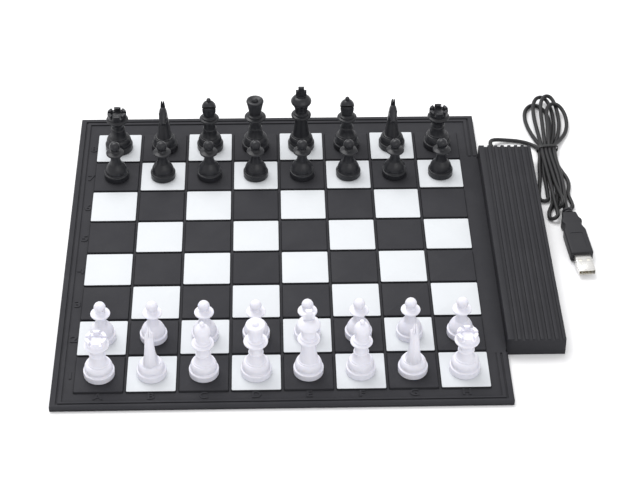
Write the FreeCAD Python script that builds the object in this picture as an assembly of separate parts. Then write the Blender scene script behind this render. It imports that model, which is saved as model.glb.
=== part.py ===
"""Roll-up electronic chess computer: a silicone board with pressing squares, a ribbed control case along
its right-hand edge, a USB lead tied in a hank, and thirty-two chessmen set up for a game.

Millimetres. +X runs from file a to file h and on to the case, +Y from rank 1 to rank 8, +Z up.
The origin is on the underside, below the centre of the eight by eight squares.
"""
import FreeCAD, Part
import math
import os

V = FreeCAD.Vector

# Squares
SQUARES = 8
PITCH = 35.0                # from one square's centre to the next
SQUARE = 32.8               # side of a square pad
SQUARE_CORNER = 0.9
PAD_TOP = 4.6               # where the chessmen stand
PAD_GAP = 0.3               # from a pad's side to its opening
PAD_TRAVEL = 0.6            # how far a pressed pad goes down
FLANGE_REACH = 0.7          # how far a pad's skirt reaches past its side
FLANGE_THICK = 0.5
INLAY_THICK = 0.3           # white inlay on a light square
GRID = SQUARES * PITCH

# Board layers, from the table up
BASE_THICK = 0.8
MEMBRANE_THICK = 0.3
FIELD_TOP = 3.1             # top of the plain black field
WEB_THICK = 0.75            # of the bars between the squares
BOARD_LEFT, BOARD_RIGHT = -154.0, 153.5
BOARD_NEAR, BOARD_FAR = -152.0, 161.0
NEAR_SHARE = 0.72           # the mouldings are this much narrower along the near edge
BOARD_CORNER = 0.9
BAND = 3.8                  # width of the raised band round the edge
BAND_BEVEL = 1.1
GROOVE = 1.5                # between the band and the ridge
RIDGE = 2.3
RIDGE_TOP = 3.7
INNER_LINE = 0.9
GROOVE_FLOOR = 2.4
LINE_FLOOR = 2.7

# Control case
CASE_LEFT, CASE_RIGHT = 153.0, 193.2
CASE_NEAR, CASE_FAR = -104.5, 108.5
CASE_TOP = 14.5
CASE_NOTCH = 152.4          # the board's edge steps in to here beside the case
PARTING = 3.5               # height of the line between the two halves
WALL = 1.6
FIRST_RIB = 4.2
RIB = 2.3
VALLEY = 2.8
VALLEY_DEPTH = 1.4
RIB_EASE = 0.25             # small slope on each side of a rib
RIBS = 7                    # narrow ones, after the first wide one
FLOOR_LEFT = 159.6          # the lower half starts where the board's tongue ends
TONGUE_NEAR, TONGUE_FAR = -102.7, 106.7
TONGUE_END = 157.4
PAPER_RISE = 158.0          # where the membrane's tail turns up
TAIL_HALF = 30.0

# Circuit board and screws
BOARD_Z = 4.0
BOARD_THICK = 1.6
PCB_LEFT, PCB_RIGHT = 163.0, 188.0
PCB_HALF = 92.0
SCREW_X = (166.0, 185.0)
SCREW_Y = (-98.0, 98.0)
BOSS_R = 3.2
PILOT_R = 1.2
SHANK_R = 1.15
SCREW_HEAD_R = 2.4

# Lead, hank and plug
LEAD_D = 3.0
EXIT_X, EXIT_Z = 164.0, 6.0
BOOT_LENGTH = 10.0
BOOT_R = 3.1                # of the opening in the case
BOOT_FIT = 0.05
HANK_TOP = 8.6
PLUG_X, PLUG_Y = 213.4, 42.6        # where the plug's boot starts
PLUG_TURN = 4.6                     # degrees from straight towards the player
PLUG_Z = 4.15                       # height of its centre line
GRIP_WIDE, GRIP_THICK = 16.6, 8.2
GRIP_END = 52.0                     # from the boot's start to the shell
SHELL_WIDE, SHELL_THICK = 12.0, 4.5
SHELL_LENGTH = 17.5
SHELL_WALL = 0.32

# Chessmen
FOOT_R = {"pawn": 9.3, "rook": 10.4, "knight": 10.0, "bishop": 10.0, "queen": 10.4, "king": 10.1}
BACK_RANK = ("rook", "knight", "bishop", "queen", "king", "bishop", "knight", "rook")


def box(low, high):
    """A block between two corners."""
    return Part.makeBox(high[0] - low[0], high[1] - low[1], high[2] - low[2], V(*low))


def slab(low, high, corner):
    """A block whose upright edges are rounded."""
    block = box(low, high)
    upright = [e for e in block.Edges if abs(e.Vertexes[0].Z - e.Vertexes[1].Z) > 1e-6]
    return block.makeFillet(corner, upright)


def prism(points, along):
    """A flat closed outline of straight lines, carried along a vector."""
    corners = [V(*p) for p in points]
    return Part.Face(Part.makePolygon(corners + corners[:1])).extrude(V(*along))


def outline(start, steps, lift):
    """Edges of an outline. A step of two numbers is a straight line to that place; a step of four is an
    arc through the first pair to the second. lift turns a pair into a point in space."""
    here = lift(*start)
    edges = []
    for step in steps:
        there = lift(*step[-2:])
        if len(step) == 2:
            edges.append(Part.LineSegment(here, there).toShape())
        else:
            edges.append(Part.Arc(here, lift(*step[:2]), there).toShape())
        here = there
    edges.append(Part.LineSegment(here, lift(*start)).toShape())
    return edges


def turned(steps):
    """A solid turned about +Z from an outline of (radius, height) that starts at the axis."""
    edges = outline((0, 0), steps, lambda r, z: V(r, 0, z))
    return Part.Face(Part.Wire(edges)).revolve(V(0, 0, 0), V(0, 0, 1), 360)


def dome(radius, height, top):
    """An arc from (radius, height) up to (0, top) whose centre lies on the axis, as a step of four."""
    centre = (top ** 2 - height ** 2 - radius ** 2) / (2 * (top - height))
    size = top - centre
    half = math.acos((height - centre) / size) / 2
    return size * math.sin(half), centre + size * math.cos(half), 0, top


def save(name, shape):
    """Write one node, and say what it holds."""
    shape.exportStep("parts/%s.step" % name)
    print("%-24s solids %2d  volume %9.1f mm3  valid %s" % (name, len(shape.Solids), shape.Volume,
                                                           shape.isValid()))


# ---------------------------------------------------------------- board

def ring(inset, width, z0, z1):
    """A square-cornered frame that follows the board's edge, inset from it."""
    near = BOARD_NEAR + inset * NEAR_SHARE
    outer = box((BOARD_LEFT + inset, near, z0), (BOARD_RIGHT - inset, BOARD_FAR - inset, z1))
    deep = inset + width
    near = BOARD_NEAR + deep * NEAR_SHARE
    hole = box((BOARD_LEFT + deep, near, z0), (BOARD_RIGHT - deep, BOARD_FAR - deep, z1))
    return outer.cut(hole)


def square_centre(file, rank):
    """Centre of a square; file and rank count from 0 at a1."""
    return (file + 0.5) * PITCH - GRID / 2, (rank + 0.5) * PITCH - GRID / 2


def edge_band():
    """The raised band round the board, bevelled down to the outside."""
    band = ring(0, BAND, FIELD_TOP, RIDGE_TOP)
    left, right = BOARD_LEFT, BOARD_RIGHT
    near, far = BOARD_NEAR, BOARD_FAR
    drop = RIDGE_TOP - FIELD_TOP
    for low, high in (((left, near), (left, far)), ((right, near), (right, far))):
        inward = BAND_BEVEL if low[0] == left else -BAND_BEVEL
        wedge = [(low[0], near, RIDGE_TOP), (low[0], near, RIDGE_TOP - drop), (low[0] + inward, near, RIDGE_TOP)]
        band = band.cut(prism(wedge, (0, far - near, 0)))
    for y in (near, far):
        inward = BAND_BEVEL if y == near else -BAND_BEVEL
        wedge = [(left, y, RIDGE_TOP), (left, y, RIDGE_TOP - drop), (left, y + inward, RIDGE_TOP)]
        band = band.cut(prism(wedge, (right - left, 0, 0)))
    return band


def beside_case(z0, z1):
    """The strip that is taken off the board's right edge where the case sits."""
    return box((CASE_NOTCH, CASE_NEAR - 0.4, z0), (BOARD_RIGHT + 1, CASE_FAR + 0.4, z1))


def top_skin():
    """Moulded top sheet: border mouldings, an opening for each square, and the tongue into the case."""
    under = BASE_THICK + MEMBRANE_THICK
    sheet = slab((BOARD_LEFT, BOARD_NEAR, under), (BOARD_RIGHT, BOARD_FAR, FIELD_TOP), BOARD_CORNER)
    tongue_zone = box((GRID / 2, TONGUE_NEAR - 3, 0), (BOARD_RIGHT + 1, TONGUE_FAR + 3, PAD_TOP))
    ridge = ring(BAND + GROOVE, RIDGE, FIELD_TOP, RIDGE_TOP)
    raised = edge_band().fuse(ridge).cut(tongue_zone)
    sunk = ring(BAND, GROOVE, GROOVE_FLOOR, FIELD_TOP)
    sunk = sunk.fuse(ring(BAND + GROOVE + RIDGE, INNER_LINE, LINE_FLOOR, FIELD_TOP)).cut(tongue_zone)
    corners = slab((BOARD_LEFT, BOARD_NEAR, 0), (BOARD_RIGHT, BOARD_FAR, PAD_TOP), BOARD_CORNER)
    tongue = box((CASE_NOTCH, TONGUE_NEAR, under), (TONGUE_END, TONGUE_FAR, FIELD_TOP))
    pocket = GRID / 2 + 0.2
    hollow = box((-pocket, -pocket, under), (pocket, pocket, FIELD_TOP - WEB_THICK))
    opening = SQUARE / 2 + PAD_GAP
    holes = []
    for rank in range(SQUARES):
        for file in range(SQUARES):
            x, y = square_centre(file, rank)
            holes.append(box((x - opening, y - opening, under), (x + opening, y + opening, FIELD_TOP)))
    skin = sheet.fuse(raised.common(corners)).cut(sunk).cut(beside_case(0, PAD_TOP))
    skin = skin.fuse(tongue).removeSplitter()
    return skin.cut(Part.makeCompound([hollow] + holes))


def base_skin():
    """Plain lower sheet that lies on the table, with its own tongue under the case."""
    sheet = slab((BOARD_LEFT, BOARD_NEAR, 0), (BOARD_RIGHT, BOARD_FAR, BASE_THICK), BOARD_CORNER)
    tongue = box((CASE_NOTCH, TONGUE_NEAR, 0), (TONGUE_END + 1.6, TONGUE_FAR, BASE_THICK))
    return sheet.cut(beside_case(0, BASE_THICK)).fuse(tongue).removeSplitter()


def switch_membrane():
    """Printed contact film under all the squares; its tail turns up behind the tongue and lies on the
    circuit board, under the connector."""
    low = BASE_THICK
    high = BASE_THICK + MEMBRANE_THICK
    half = GRID / 2 + 4
    film = box((-half, -half, low), (half, half, high))
    lead_out = box((half, -TAIL_HALF, low), (PAPER_RISE, TAIL_HALF, high))
    on_board = BOARD_Z + BOARD_THICK
    rise = box((PAPER_RISE, -TAIL_HALF, low), (PAPER_RISE + MEMBRANE_THICK, TAIL_HALF,
                                              on_board + MEMBRANE_THICK))
    landing = box((PAPER_RISE, -TAIL_HALF, on_board), (PCB_LEFT + 4, TAIL_HALF, on_board + MEMBRANE_THICK))
    return film.fuse([lead_out, rise, landing]).removeSplitter()


def pad(x, y, light):
    """One square: a raised button whose skirt is caught under the bars of the top sheet."""
    half = SQUARE / 2
    skirt_top = FIELD_TOP - WEB_THICK - 0.1
    skirt_half = half + FLANGE_REACH
    top = PAD_TOP - INLAY_THICK if light else PAD_TOP
    button = slab((x - half, y - half, skirt_top - FLANGE_THICK), (x + half, y + half, top), SQUARE_CORNER)
    skirt = box((x - skirt_half, y - skirt_half, skirt_top - FLANGE_THICK),
                (x + skirt_half, y + skirt_half, skirt_top))
    return button.fuse(skirt).removeSplitter()


def inlay(x, y):
    """White top of a light square."""
    half = SQUARE / 2
    return slab((x - half, y - half, PAD_TOP - INLAY_THICK), (x + half, y + half, PAD_TOP), SQUARE_CORNER)


def rank_of_squares(rank):
    """The eight pads of a rank, and the white tops of its four light squares."""
    pads = []
    tops = []
    for file in range(SQUARES):
        x, y = square_centre(file, rank)
        light = (file + rank) % 2 == 1
        pads.append(pad(x, y, light))
        if light:
            tops.append(inlay(x, y))
    return Part.makeCompound(pads), Part.makeCompound(tops)


# ---------------------------------------------------------------- control case

def case_section(inset):
    """Half outline of the case's ribbed top, as (x, z) from its left foot to its right foot, drawn in by
    inset so that the same function gives the hollow."""
    if inset:
        roof = CASE_TOP - VALLEY_DEPTH - inset
        return [(CASE_LEFT + inset, PARTING), (CASE_LEFT + inset, roof),
                (CASE_RIGHT - inset - 0.3, roof), (CASE_RIGHT - inset, PARTING)]
    points = [(CASE_LEFT, PARTING), (CASE_LEFT, CASE_TOP - 0.4), (CASE_LEFT + 0.4, CASE_TOP)]
    x = CASE_LEFT + FIRST_RIB
    floor = CASE_TOP - VALLEY_DEPTH
    for rib in range(RIBS):
        points.append((x, CASE_TOP))
        points.append((x + RIB_EASE, floor))
        x += VALLEY
        points.append((x - RIB_EASE, floor))
        points.append((x, CASE_TOP))
        x += RIB
    points.append((CASE_RIGHT - 0.7, CASE_TOP))
    points.append((CASE_RIGHT - 0.3, CASE_TOP - 0.4))
    points.append((CASE_RIGHT, PARTING))
    return points


def case_top():
    """Ribbed upper half: the ribs run from end to end, and four bosses take the screws."""
    shell = prism([(x, CASE_NEAR, z) for x, z in case_section(0)], (0, CASE_FAR - CASE_NEAR, 0))
    hollow = prism([(x, CASE_NEAR + WALL, z) for x, z in case_section(WALL)],
                   (0, CASE_FAR - CASE_NEAR - 2 * WALL, 0))
    shell = shell.cut(hollow)
    roof = CASE_TOP - VALLEY_DEPTH - WALL
    for x in SCREW_X:
        for y in SCREW_Y:
            boss = Part.makeCylinder(BOSS_R, roof - PARTING, V(x, y, PARTING))
            shell = shell.fuse(boss)
    for x in SCREW_X:
        for y in SCREW_Y:
            shell = shell.cut(Part.makeCylinder(PILOT_R, 6.0, V(x, y, PARTING)))
    return shell.cut(exit_hole()).removeSplitter()


def exit_hole():
    """Round opening in the far end wall for the lead's boot."""
    return Part.makeCylinder(BOOT_R, WALL + 2, V(EXIT_X, CASE_FAR - WALL - 1, EXIT_Z), V(0, 1, 0))


def case_bottom():
    """Lower half: a floor beside the board's tongue, a low wall on the right, and both end walls."""
    floor = box((FLOOR_LEFT, CASE_NEAR, 0), (CASE_RIGHT, CASE_FAR, WALL))
    right = box((CASE_RIGHT - WALL, CASE_NEAR, WALL), (CASE_RIGHT, CASE_FAR, PARTING))
    near = box((CASE_LEFT, CASE_NEAR, 0), (CASE_RIGHT, TONGUE_NEAR - 0.2, PARTING))
    far = box((CASE_LEFT, TONGUE_FAR + 0.2, 0), (CASE_RIGHT, CASE_FAR, PARTING))
    tray = floor.fuse([right, near, far])
    for x in SCREW_X:
        for y in SCREW_Y:
            tray = tray.fuse(Part.makeCylinder(BOSS_R, PARTING - WALL, V(x, y, WALL)))
        for y in (-PCB_HALF + 5, PCB_HALF - 5):
            tray = tray.fuse(Part.makeCylinder(2.0, BOARD_Z - WALL, V(x + 0.5, y, WALL)))
    for x in SCREW_X:
        for y in SCREW_Y:
            tray = tray.cut(Part.makeCylinder(SHANK_R + 0.35, PARTING, V(x, y, 0)))
            tray = tray.cut(Part.makeCylinder(SCREW_HEAD_R + 0.3, 1.8, V(x, y, 0)))
    return tray.cut(exit_hole()).removeSplitter()


def case_screws():
    """Four pan-headed screws, put in from below."""
    screws = []
    for x in SCREW_X:
        for y in SCREW_Y:
            head = Part.makeCylinder(SCREW_HEAD_R, 1.3, V(x, y, 0.5))
            cross = box((x - 1.5, y - 0.3, 0.5), (x + 1.5, y + 0.3, 1.1))
            cross = cross.fuse(box((x - 0.3, y - 1.5, 0.5), (x + 0.3, y + 1.5, 1.1)))
            shank = Part.makeCylinder(SHANK_R, 6.5, V(x, y, 1.8))
            screws.append(head.cut(cross).fuse(shank).removeSplitter())
    return Part.makeCompound(screws)


def circuit_board():
    """Board with its processor, memory, resonator, sounder and the membrane's connector."""
    top = BOARD_Z + BOARD_THICK
    board = box((PCB_LEFT, -PCB_HALF, BOARD_Z), (PCB_RIGHT, PCB_HALF, top))
    processor = box((170, -8, top), (184, 6, top + 1.6))
    memory = box((173, 20, top), (181, 30, top + 1.4))
    resonator = box((173, 38, top), (179, 42, top + 2.2))
    sounder = Part.makeCylinder(5.0, 3.4, V(177, -30, top))
    connector = box((PCB_LEFT + 1, -TAIL_HALF - 2, top + MEMBRANE_THICK),
                    (PCB_LEFT + 6, TAIL_HALF + 2, top + 2.8))
    ends = [box((PCB_LEFT + 1, y - 2, top), (PCB_LEFT + 6, y, top + 2.8))
            for y in (-TAIL_HALF, TAIL_HALF + 2)]
    return board.fuse([processor, memory, resonator, sounder, connector] + ends).removeSplitter()


# ---------------------------------------------------------------- lead, hank and plug

def lead_route():
    """Centre line of the stretch between the case and the hank: out of the boot, down to the table,
    round behind the case and in under the tie. Each point is a corner that an arc rounds off."""
    start = CASE_FAR + BOOT_LENGTH
    rest = LEAD_D / 2
    return [V(EXIT_X, start, EXIT_Z),
            V(EXIT_X, start + 3.9, EXIT_Z),
            V(EXIT_X + 1.1, start + 7.4, EXIT_Z - 0.7),
            V(EXIT_X + 3.7, start + 10.2, EXIT_Z - 2.0),
            V(EXIT_X + 7.9, start + 12.0, rest + 1.1),
            V(EXIT_X + 13.6, start + 12.5, rest + 0.2),
            V(EXIT_X + 20.6, start + 12.0, rest),
            V(EXIT_X + 28.0, start + 9.7, rest),
            V(EXIT_X + 34.4, start + 5.7, rest)]


def tube(points, diameter):
    """A tube along straight runs joined by arcs that touch them. Each arc is as large as its two runs
    allow. Prints the arcs' radii."""
    edges = []
    radii = []
    here = points[0]
    for before, corner, after in zip(points, points[1:], points[2:]):
        back = before - corner
        onward = after - corner
        turn = math.pi - back.getAngle(onward)
        reach = 0.45 * min(back.Length, onward.Length)
        radii.append(reach / math.tan(turn / 2))
        back.normalize()
        onward.normalize()
        first = corner + back * reach
        last = corner + onward * reach
        inward = back + onward
        inward.normalize()
        middle = corner + inward * (radii[-1] / math.cos(turn / 2) - radii[-1])
        edges.append(Part.LineSegment(here, first).toShape())
        edges.append(Part.Arc(first, middle, last).toShape())
        here = last
    edges.append(Part.LineSegment(here, points[-1]).toShape())
    path = Part.Wire(edges)
    direction = points[1] - points[0]
    section = Part.Wire(Part.makeCircle(diameter / 2, points[0], direction))
    solid = path.makePipeShell([section], True, False)
    expected = math.pi * diameter ** 2 / 4 * path.Length
    print("lead radii %s mm, length %.1f mm, volume %.4f of section times length"
          % (["%.1f" % r for r in radii], path.Length, solid.Volume / expected))
    return solid


def plug_place(along, across=0.0):
    """A place on the plug, from its boot's start, as (x, y)."""
    turn = math.radians(PLUG_TURN)
    x = PLUG_X + along * math.sin(turn) + across * math.cos(turn)
    y = PLUG_Y - along * math.cos(turn) + across * math.sin(turn)
    return x, y


def hank():
    """Outer shape of the tied hank: open loops behind the tie, folded loops in front of it. Flat ends
    meet the lead and the plug's boot."""
    route = lead_route()
    end = route[-1]
    heading = end - route[-2]
    heading.normalize()
    side = V(-heading.y, heading.x, 0)
    upper = end + side * 2.0
    lower = end - side * 2.4
    points = [(upper.x, upper.y), (lower.x, lower.y)]
    left = [(199.2, 104.0), (196.2, 88.0), (196.6, 68.0), (199.8, 56.0), (201.4, 37.0), (204.0, 33.6),
            (207.6, 36.6), (208.2, 44.0)]
    right = [(219.4, 48.0), (220.4, 58.0), (219.0, 64.0), (221.8, 76.0), (219.6, 86.0), (215.6, 96.0),
             (216.6, 113.0), (219.2, 124.0), (229.0, 146.0), (230.6, 156.0), (226.4, 168.0), (219.4, 178.0),
             (213.0, 184.4), (204.0, 182.6), (200.4, 177.4), (194.4, 171.0), (193.4, 156.0), (196.4, 138.0)]
    points += left
    points += [plug_place(0, -4.6), plug_place(0, 5.6)]
    points += right
    return prism([(x, y, 0) for x, y in points], (0, 0, HANK_TOP))


def along_plug(shape):
    """Lay a piece that was drawn along +Z, flat side facing +Y, down along the plug's direction."""
    shape.rotate(V(0, 0, 0), V(1, 0, 0), 90)
    shape.rotate(V(0, 0, 0), V(0, 0, 1), PLUG_TURN)
    shape.translate(V(PLUG_X, PLUG_Y, PLUG_Z))
    return shape


def cable_boot():
    """Strain relief where the lead leaves the case: a flange inside the wall and a tapered sleeve."""
    reach = CASE_FAR + BOOT_LENGTH
    inside = CASE_FAR - WALL
    sleeve = Part.makeCone(BOOT_R - BOOT_FIT, 2.1, BOOT_LENGTH, V(EXIT_X, CASE_FAR, EXIT_Z), V(0, 1, 0))
    neck = Part.makeCylinder(BOOT_R - BOOT_FIT, WALL, V(EXIT_X, inside, EXIT_Z), V(0, 1, 0))
    flange = Part.makeCylinder(BOOT_R + 0.9, 1.2, V(EXIT_X, inside - 1.25, EXIT_Z), V(0, 1, 0))
    neck = neck.fuse(Part.makeCylinder(BOOT_R - BOOT_FIT, 0.1, V(EXIT_X, inside - 0.08, EXIT_Z), V(0, 1, 0)))
    boot = sleeve.fuse([neck, flange])
    for slot in range(4):
        y = CASE_FAR + 1.8 + 2.0 * slot
        groove = Part.makeCylinder(BOOT_R + 1, 0.8, V(EXIT_X, y, EXIT_Z), V(0, 1, 0))
        core = Part.makeCylinder(1.9, 0.8, V(EXIT_X, y, EXIT_Z), V(0, 1, 0))
        boot = boot.cut(groove.cut(core))
    return boot.common(box((EXIT_X - 9, inside - 2, 0), (EXIT_X + 9, reach, 20))).removeSplitter()


def plug_grip():
    """Moulded grip of the plug: two boot rings, a narrow shoulder, a waist, then the full body."""
    half = GRIP_THICK / 2
    wide = GRIP_WIDE / 2
    profile = [(-5.4, 6.4), (5.4, 6.4), (6.2, 12.6), (7.6, 14.8), (7.4, 17.4), (6.3, 19.2), (6.3, 20.8),
               (wide, 26.0), (wide, GRIP_END - 0.8), (wide - 0.8, GRIP_END),
               (0.8 - wide, GRIP_END), (-wide, GRIP_END - 0.8), (-wide, 26.0), (-6.3, 20.8), (-6.3, 19.2),
               (-7.4, 17.4), (-7.6, 14.8), (-6.2, 12.6)]
    body = prism([(x, -half, z) for x, z in profile], (0, GRIP_THICK, 0))
    round_over = slab_along_z(GRIP_WIDE, GRIP_THICK, GRIP_END, 1.5)
    body = body.common(round_over)
    stem = Part.makeCylinder(2.3, 6.6)
    rings = [Part.makeCylinder(3.9, 1.7, V(0, 0, z)) for z in (0.9, 3.7)]
    grip = body.fuse([stem] + rings).removeSplitter()
    return along_plug(grip)


def slab_along_z(wide, thick, length, corner):
    """A bar along +Z with rounded long edges."""
    bar = Part.makeBox(wide, thick, length, V(-wide / 2, -thick / 2, 0))
    long_edges = [e for e in bar.Edges if abs(e.Vertexes[0].Z - e.Vertexes[1].Z) > 1]
    return bar.makeFillet(corner, long_edges)


def plug_shell():
    """Folded metal shell with its two latch windows, and the plastic tongue inside it."""
    outer = slab_along_z(SHELL_WIDE, SHELL_THICK, SHELL_LENGTH, 0.6)
    wide = SHELL_WIDE - 2 * SHELL_WALL
    thick = SHELL_THICK - 2 * SHELL_WALL
    inner = slab_along_z(wide, thick, SHELL_LENGTH, 0.35)
    shell = outer.cut(inner)
    for x in (-2.9, 2.9):
        window = Part.makeBox(2.3, SHELL_THICK + 2, 2.2, V(x - 1.15, -SHELL_THICK, 5.4))
        shell = shell.cut(window)
    tongue_thick = thick / 2 - 0.05
    tongue = Part.makeBox(wide - 0.5, tongue_thick, SHELL_LENGTH - 1.2,
                          V(-(wide - 0.5) / 2, thick / 2 - tongue_thick, 0))
    shell.translate(V(0, 0, GRIP_END))
    tongue.translate(V(0, 0, GRIP_END))
    return along_plug(Part.makeCompound([shell, tongue]))


# ---------------------------------------------------------------- chessmen

def foot(radius):
    """Foot disc, its rounded rim, and the groove under the bell."""
    return [(radius - 0.5, 0), (radius, 0.5), (radius, 4.0), (radius - 0.15, 4.9, radius - 0.9, 5.2),
            (radius - 1.2, 5.9), (radius - 1.3, 6.6), (radius - 1.0, 6.9)]


def bell(radius):
    """Bell above the foot, with the small ledge at its top; leaves off at radius 6.4, height 12.4."""
    return foot(radius) + [(radius - 1.5, 9.6, 7.7, 11.2), (7.1, 11.3), (7.0, 12.1), (6.4, 12.4)]


def collar(radius, height):
    """Wide collar with a rounded edge and a smaller ring on it; it is 5 mm high."""
    return [(radius - 1.6, height), (radius - 0.2, height + 0.9),
            (radius, height + 1.6, radius - 0.5, height + 2.3), (5.6, height + 2.8),
            (5.9, height + 3.4, 5.4, height + 4.0), (4.4, height + 4.6)]


def pawn():
    steps = foot(FOOT_R["pawn"])
    steps += [(6.7, 10.9, 4.5, 13.4), (3.7, 16.4, 3.5, 20.2), (4.9, 21.3), (6.3, 22.1),
              (6.7, 22.8, 6.1, 23.6), (3.6, 24.5), (2.9, 25.8), dome(2.9, 25.8, 32.6)]
    return turned(steps)


def rook():
    """A drum with six merlons round an open well."""
    steps = bell(FOOT_R["rook"])
    steps += [(5.3, 15.6, 5.0, 18.0), (5.6, 18.4), (5.6, 19.2), (5.0, 19.6), (4.8, 21.6, 5.3, 23.6)]
    steps += [(6.6, 25.8), (8.0, 27.0), (8.4, 27.7, 7.9, 28.4), (6.7, 29.2), (6.7, 29.8), (7.2, 30.4),
              (7.2, 34.2), (6.9, 34.5), (5.0, 34.5), (4.7, 34.2), (4.7, 31.0), (0, 30.6)]
    drum = turned(steps)
    for gap in range(6):
        slot = box((0, -1.1, 31.9), (10, 1.1, 36))
        slot.rotate(V(0, 0, 0), V(0, 0, 1), 60 * gap)
        drum = drum.cut(slot)
    return drum


def bishop():
    """A tall mitre with a slanting cut and a small ball on top."""
    steps = bell(FOOT_R["bishop"])
    steps += [(5.0, 15.4, 4.7, 17.6), (5.2, 18.0), (5.2, 18.8), (4.6, 19.2), (4.2, 22.4, 4.5, 25.2)]
    steps += collar(7.5, 26.2)
    steps += [(4.2, 31.4), (4.9, 33.6, 5.2, 36.6), (4.6, 41.4, 1.3, 44.0), dome(1.3, 44.0, 46.8)]
    body = turned(steps)
    cut = box((-9, 0, 0), (9, 12, 1.0))
    cut.rotate(V(0, 0, 0), V(1, 0, 0), 42)
    cut.translate(V(0, -1.0, 35.4))
    return body.cut(cut)


def queen():
    """A flared coronet with a dished top and a low button in it."""
    steps = bell(FOOT_R["queen"])
    steps += [(5.0, 15.8, 4.6, 18.2), (5.1, 18.6), (5.1, 19.4), (4.5, 19.8), (4.1, 23.4, 4.5, 26.4)]
    steps += collar(8.2, 27.4)
    steps += [(4.5, 33.0), (5.2, 37.0, 6.3, 42.4), (6.6, 43.6, 6.2, 44.6), (5.2, 45.0), (2.4, 43.8),
              dome(2.4, 43.8, 46.2)]
    return turned(steps)


def king():
    """A tall man with a bulging crown under a stubby cross."""
    steps = bell(FOOT_R["king"])
    steps += [(5.5, 17.6, 4.9, 23.8), (4.8, 28.0)]
    steps += collar(7.6, 29.0)
    steps += [(4.8, 34.6), (5.0, 37.4, 6.9, 41.6), (7.8, 43.9, 7.0, 45.4), (5.2, 47.2, 2.6, 48.0),
              (2.6, 48.4), (0, 48.4)]
    flare, waist = 2.2, 1.9
    cross = [(-flare, 48.0), (-waist, 48.9), (-4.0, 48.7), (-4.0, 53.3), (-waist, 53.0), (-flare, 56.2),
             (flare, 56.2), (waist, 53.0), (4.0, 53.3), (4.0, 48.7), (waist, 48.9), (flare, 48.0)]
    return turned(steps).fuse(prism([(x, -1.3, z) for x, z in cross], (0, 2.6, 0)))


def knight():
    """A horse's head and neck on a turned stand, looking towards +Y."""
    stand = turned(foot(FOOT_R["knight"]) + [(8.4, 9.2, 7.3, 10.8), (6.9, 10.9), (6.8, 11.8), (0, 12.0)])
    side_steps = [(-7.4, 21.6, -4.8, 32.4), (-3.3, 37.0), (-2.0, 43.7), (0.2, 40.0), (2.4, 37.4),
                  (8.2, 30.8), (9.2, 28.8, 7.6, 27.0), (6.0, 27.6), (5.0, 26.2), (3.0, 27.0, 1.6, 24.4),
                  (4.4, 18.0, 5.8, 11.5)]
    side = Part.Face(Part.Wire(outline((-5.9, 11.5), side_steps, lambda y, z: V(-8, y, z))))
    front_steps = [(-4.4, 18.0, -3.5, 27.0), (-3.2, 33.0), (-2.8, 37.6), (-1.2, 39.8), (-0.9, 44.0),
                   (0.9, 44.0), (1.2, 39.8), (2.8, 37.6), (3.2, 33.0), (3.5, 27.0), (4.4, 18.0, 5.2, 11.5)]
    front = Part.Face(Part.Wire(outline((-5.2, 11.5), front_steps, lambda x, z: V(x, -12, z))))
    head = side.extrude(V(16, 0, 0)).common(front.extrude(V(0, 24, 0)))
    return stand.fuse(head)


MAKERS = {"pawn": pawn, "rook": rook, "knight": knight, "bishop": bishop, "queen": queen, "king": king}


def chessmen():
    """Every man on its square, as (node name, solid). Knights look across the board."""
    shapes = {kind: make() for kind, make in MAKERS.items()}
    for colour, home, pawns, turn in (("white", 0, 1, 0), ("black", 7, 6, 180)):
        for file, kind in enumerate(BACK_RANK):
            for man, rank in ((kind, home), ("pawn", pawns)):
                x, y = square_centre(file, rank)
                solid = shapes[man].copy()
                solid.rotate(V(0, 0, 0), V(0, 0, 1), turn)
                solid.translate(V(x, y, PAD_TOP))
                yield "%s_%s_%s%d" % (colour, man, "abcdefgh"[file], rank + 1), solid


def main():
    os.makedirs("parts", exist_ok=True)
    save("board_top_skin", top_skin())
    save("board_base_skin", base_skin())
    save("switch_membrane", switch_membrane())
    for rank in range(SQUARES):
        pads, tops = rank_of_squares(rank)
        save("rank_%d_pads" % (rank + 1), pads)
        save("rank_%d_light_tops" % (rank + 1), tops)
    save("case_top", case_top())
    save("case_bottom", case_bottom())
    save("case_screws", case_screws())
    save("circuit_board", circuit_board())
    save("cable_boot", cable_boot())
    save("usb_lead", tube(lead_route(), LEAD_D))
    save("usb_lead_hank", hank())
    save("plug_grip", plug_grip())
    save("plug_shell", plug_shell())
    for name, solid in chessmen():
        save(name, solid)


main()
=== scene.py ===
"""Looks for the roll-up chess computer: soft-edged squares and board, turned and carved chessmen, ribbed
case, tied USB lead with its plug, and a plain pale studio. Metres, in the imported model's own frame.
"""
import math

import bmesh
import bpy
import numpy as np
from bpy.props import FloatProperty, FloatVectorProperty, IntProperty, PointerProperty
from mathutils import Matrix, Vector


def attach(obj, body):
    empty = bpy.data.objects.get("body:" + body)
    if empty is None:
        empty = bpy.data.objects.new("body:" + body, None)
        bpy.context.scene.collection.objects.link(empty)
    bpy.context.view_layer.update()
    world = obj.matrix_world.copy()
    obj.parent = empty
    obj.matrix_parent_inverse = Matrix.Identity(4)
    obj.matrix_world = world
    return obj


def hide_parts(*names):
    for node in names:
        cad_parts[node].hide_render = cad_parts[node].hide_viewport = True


bl_info = {
    "name": "Roll-up Chess Computer",
    "version": (1, 0, 0),
    "blender": (4, 5, 0),
    "location": "3D View > Sidebar > Chess",
    "description": "Squares, board, chessmen, case, lead and plug of a roll-up chess computer",
    "category": "Object",
}

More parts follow.
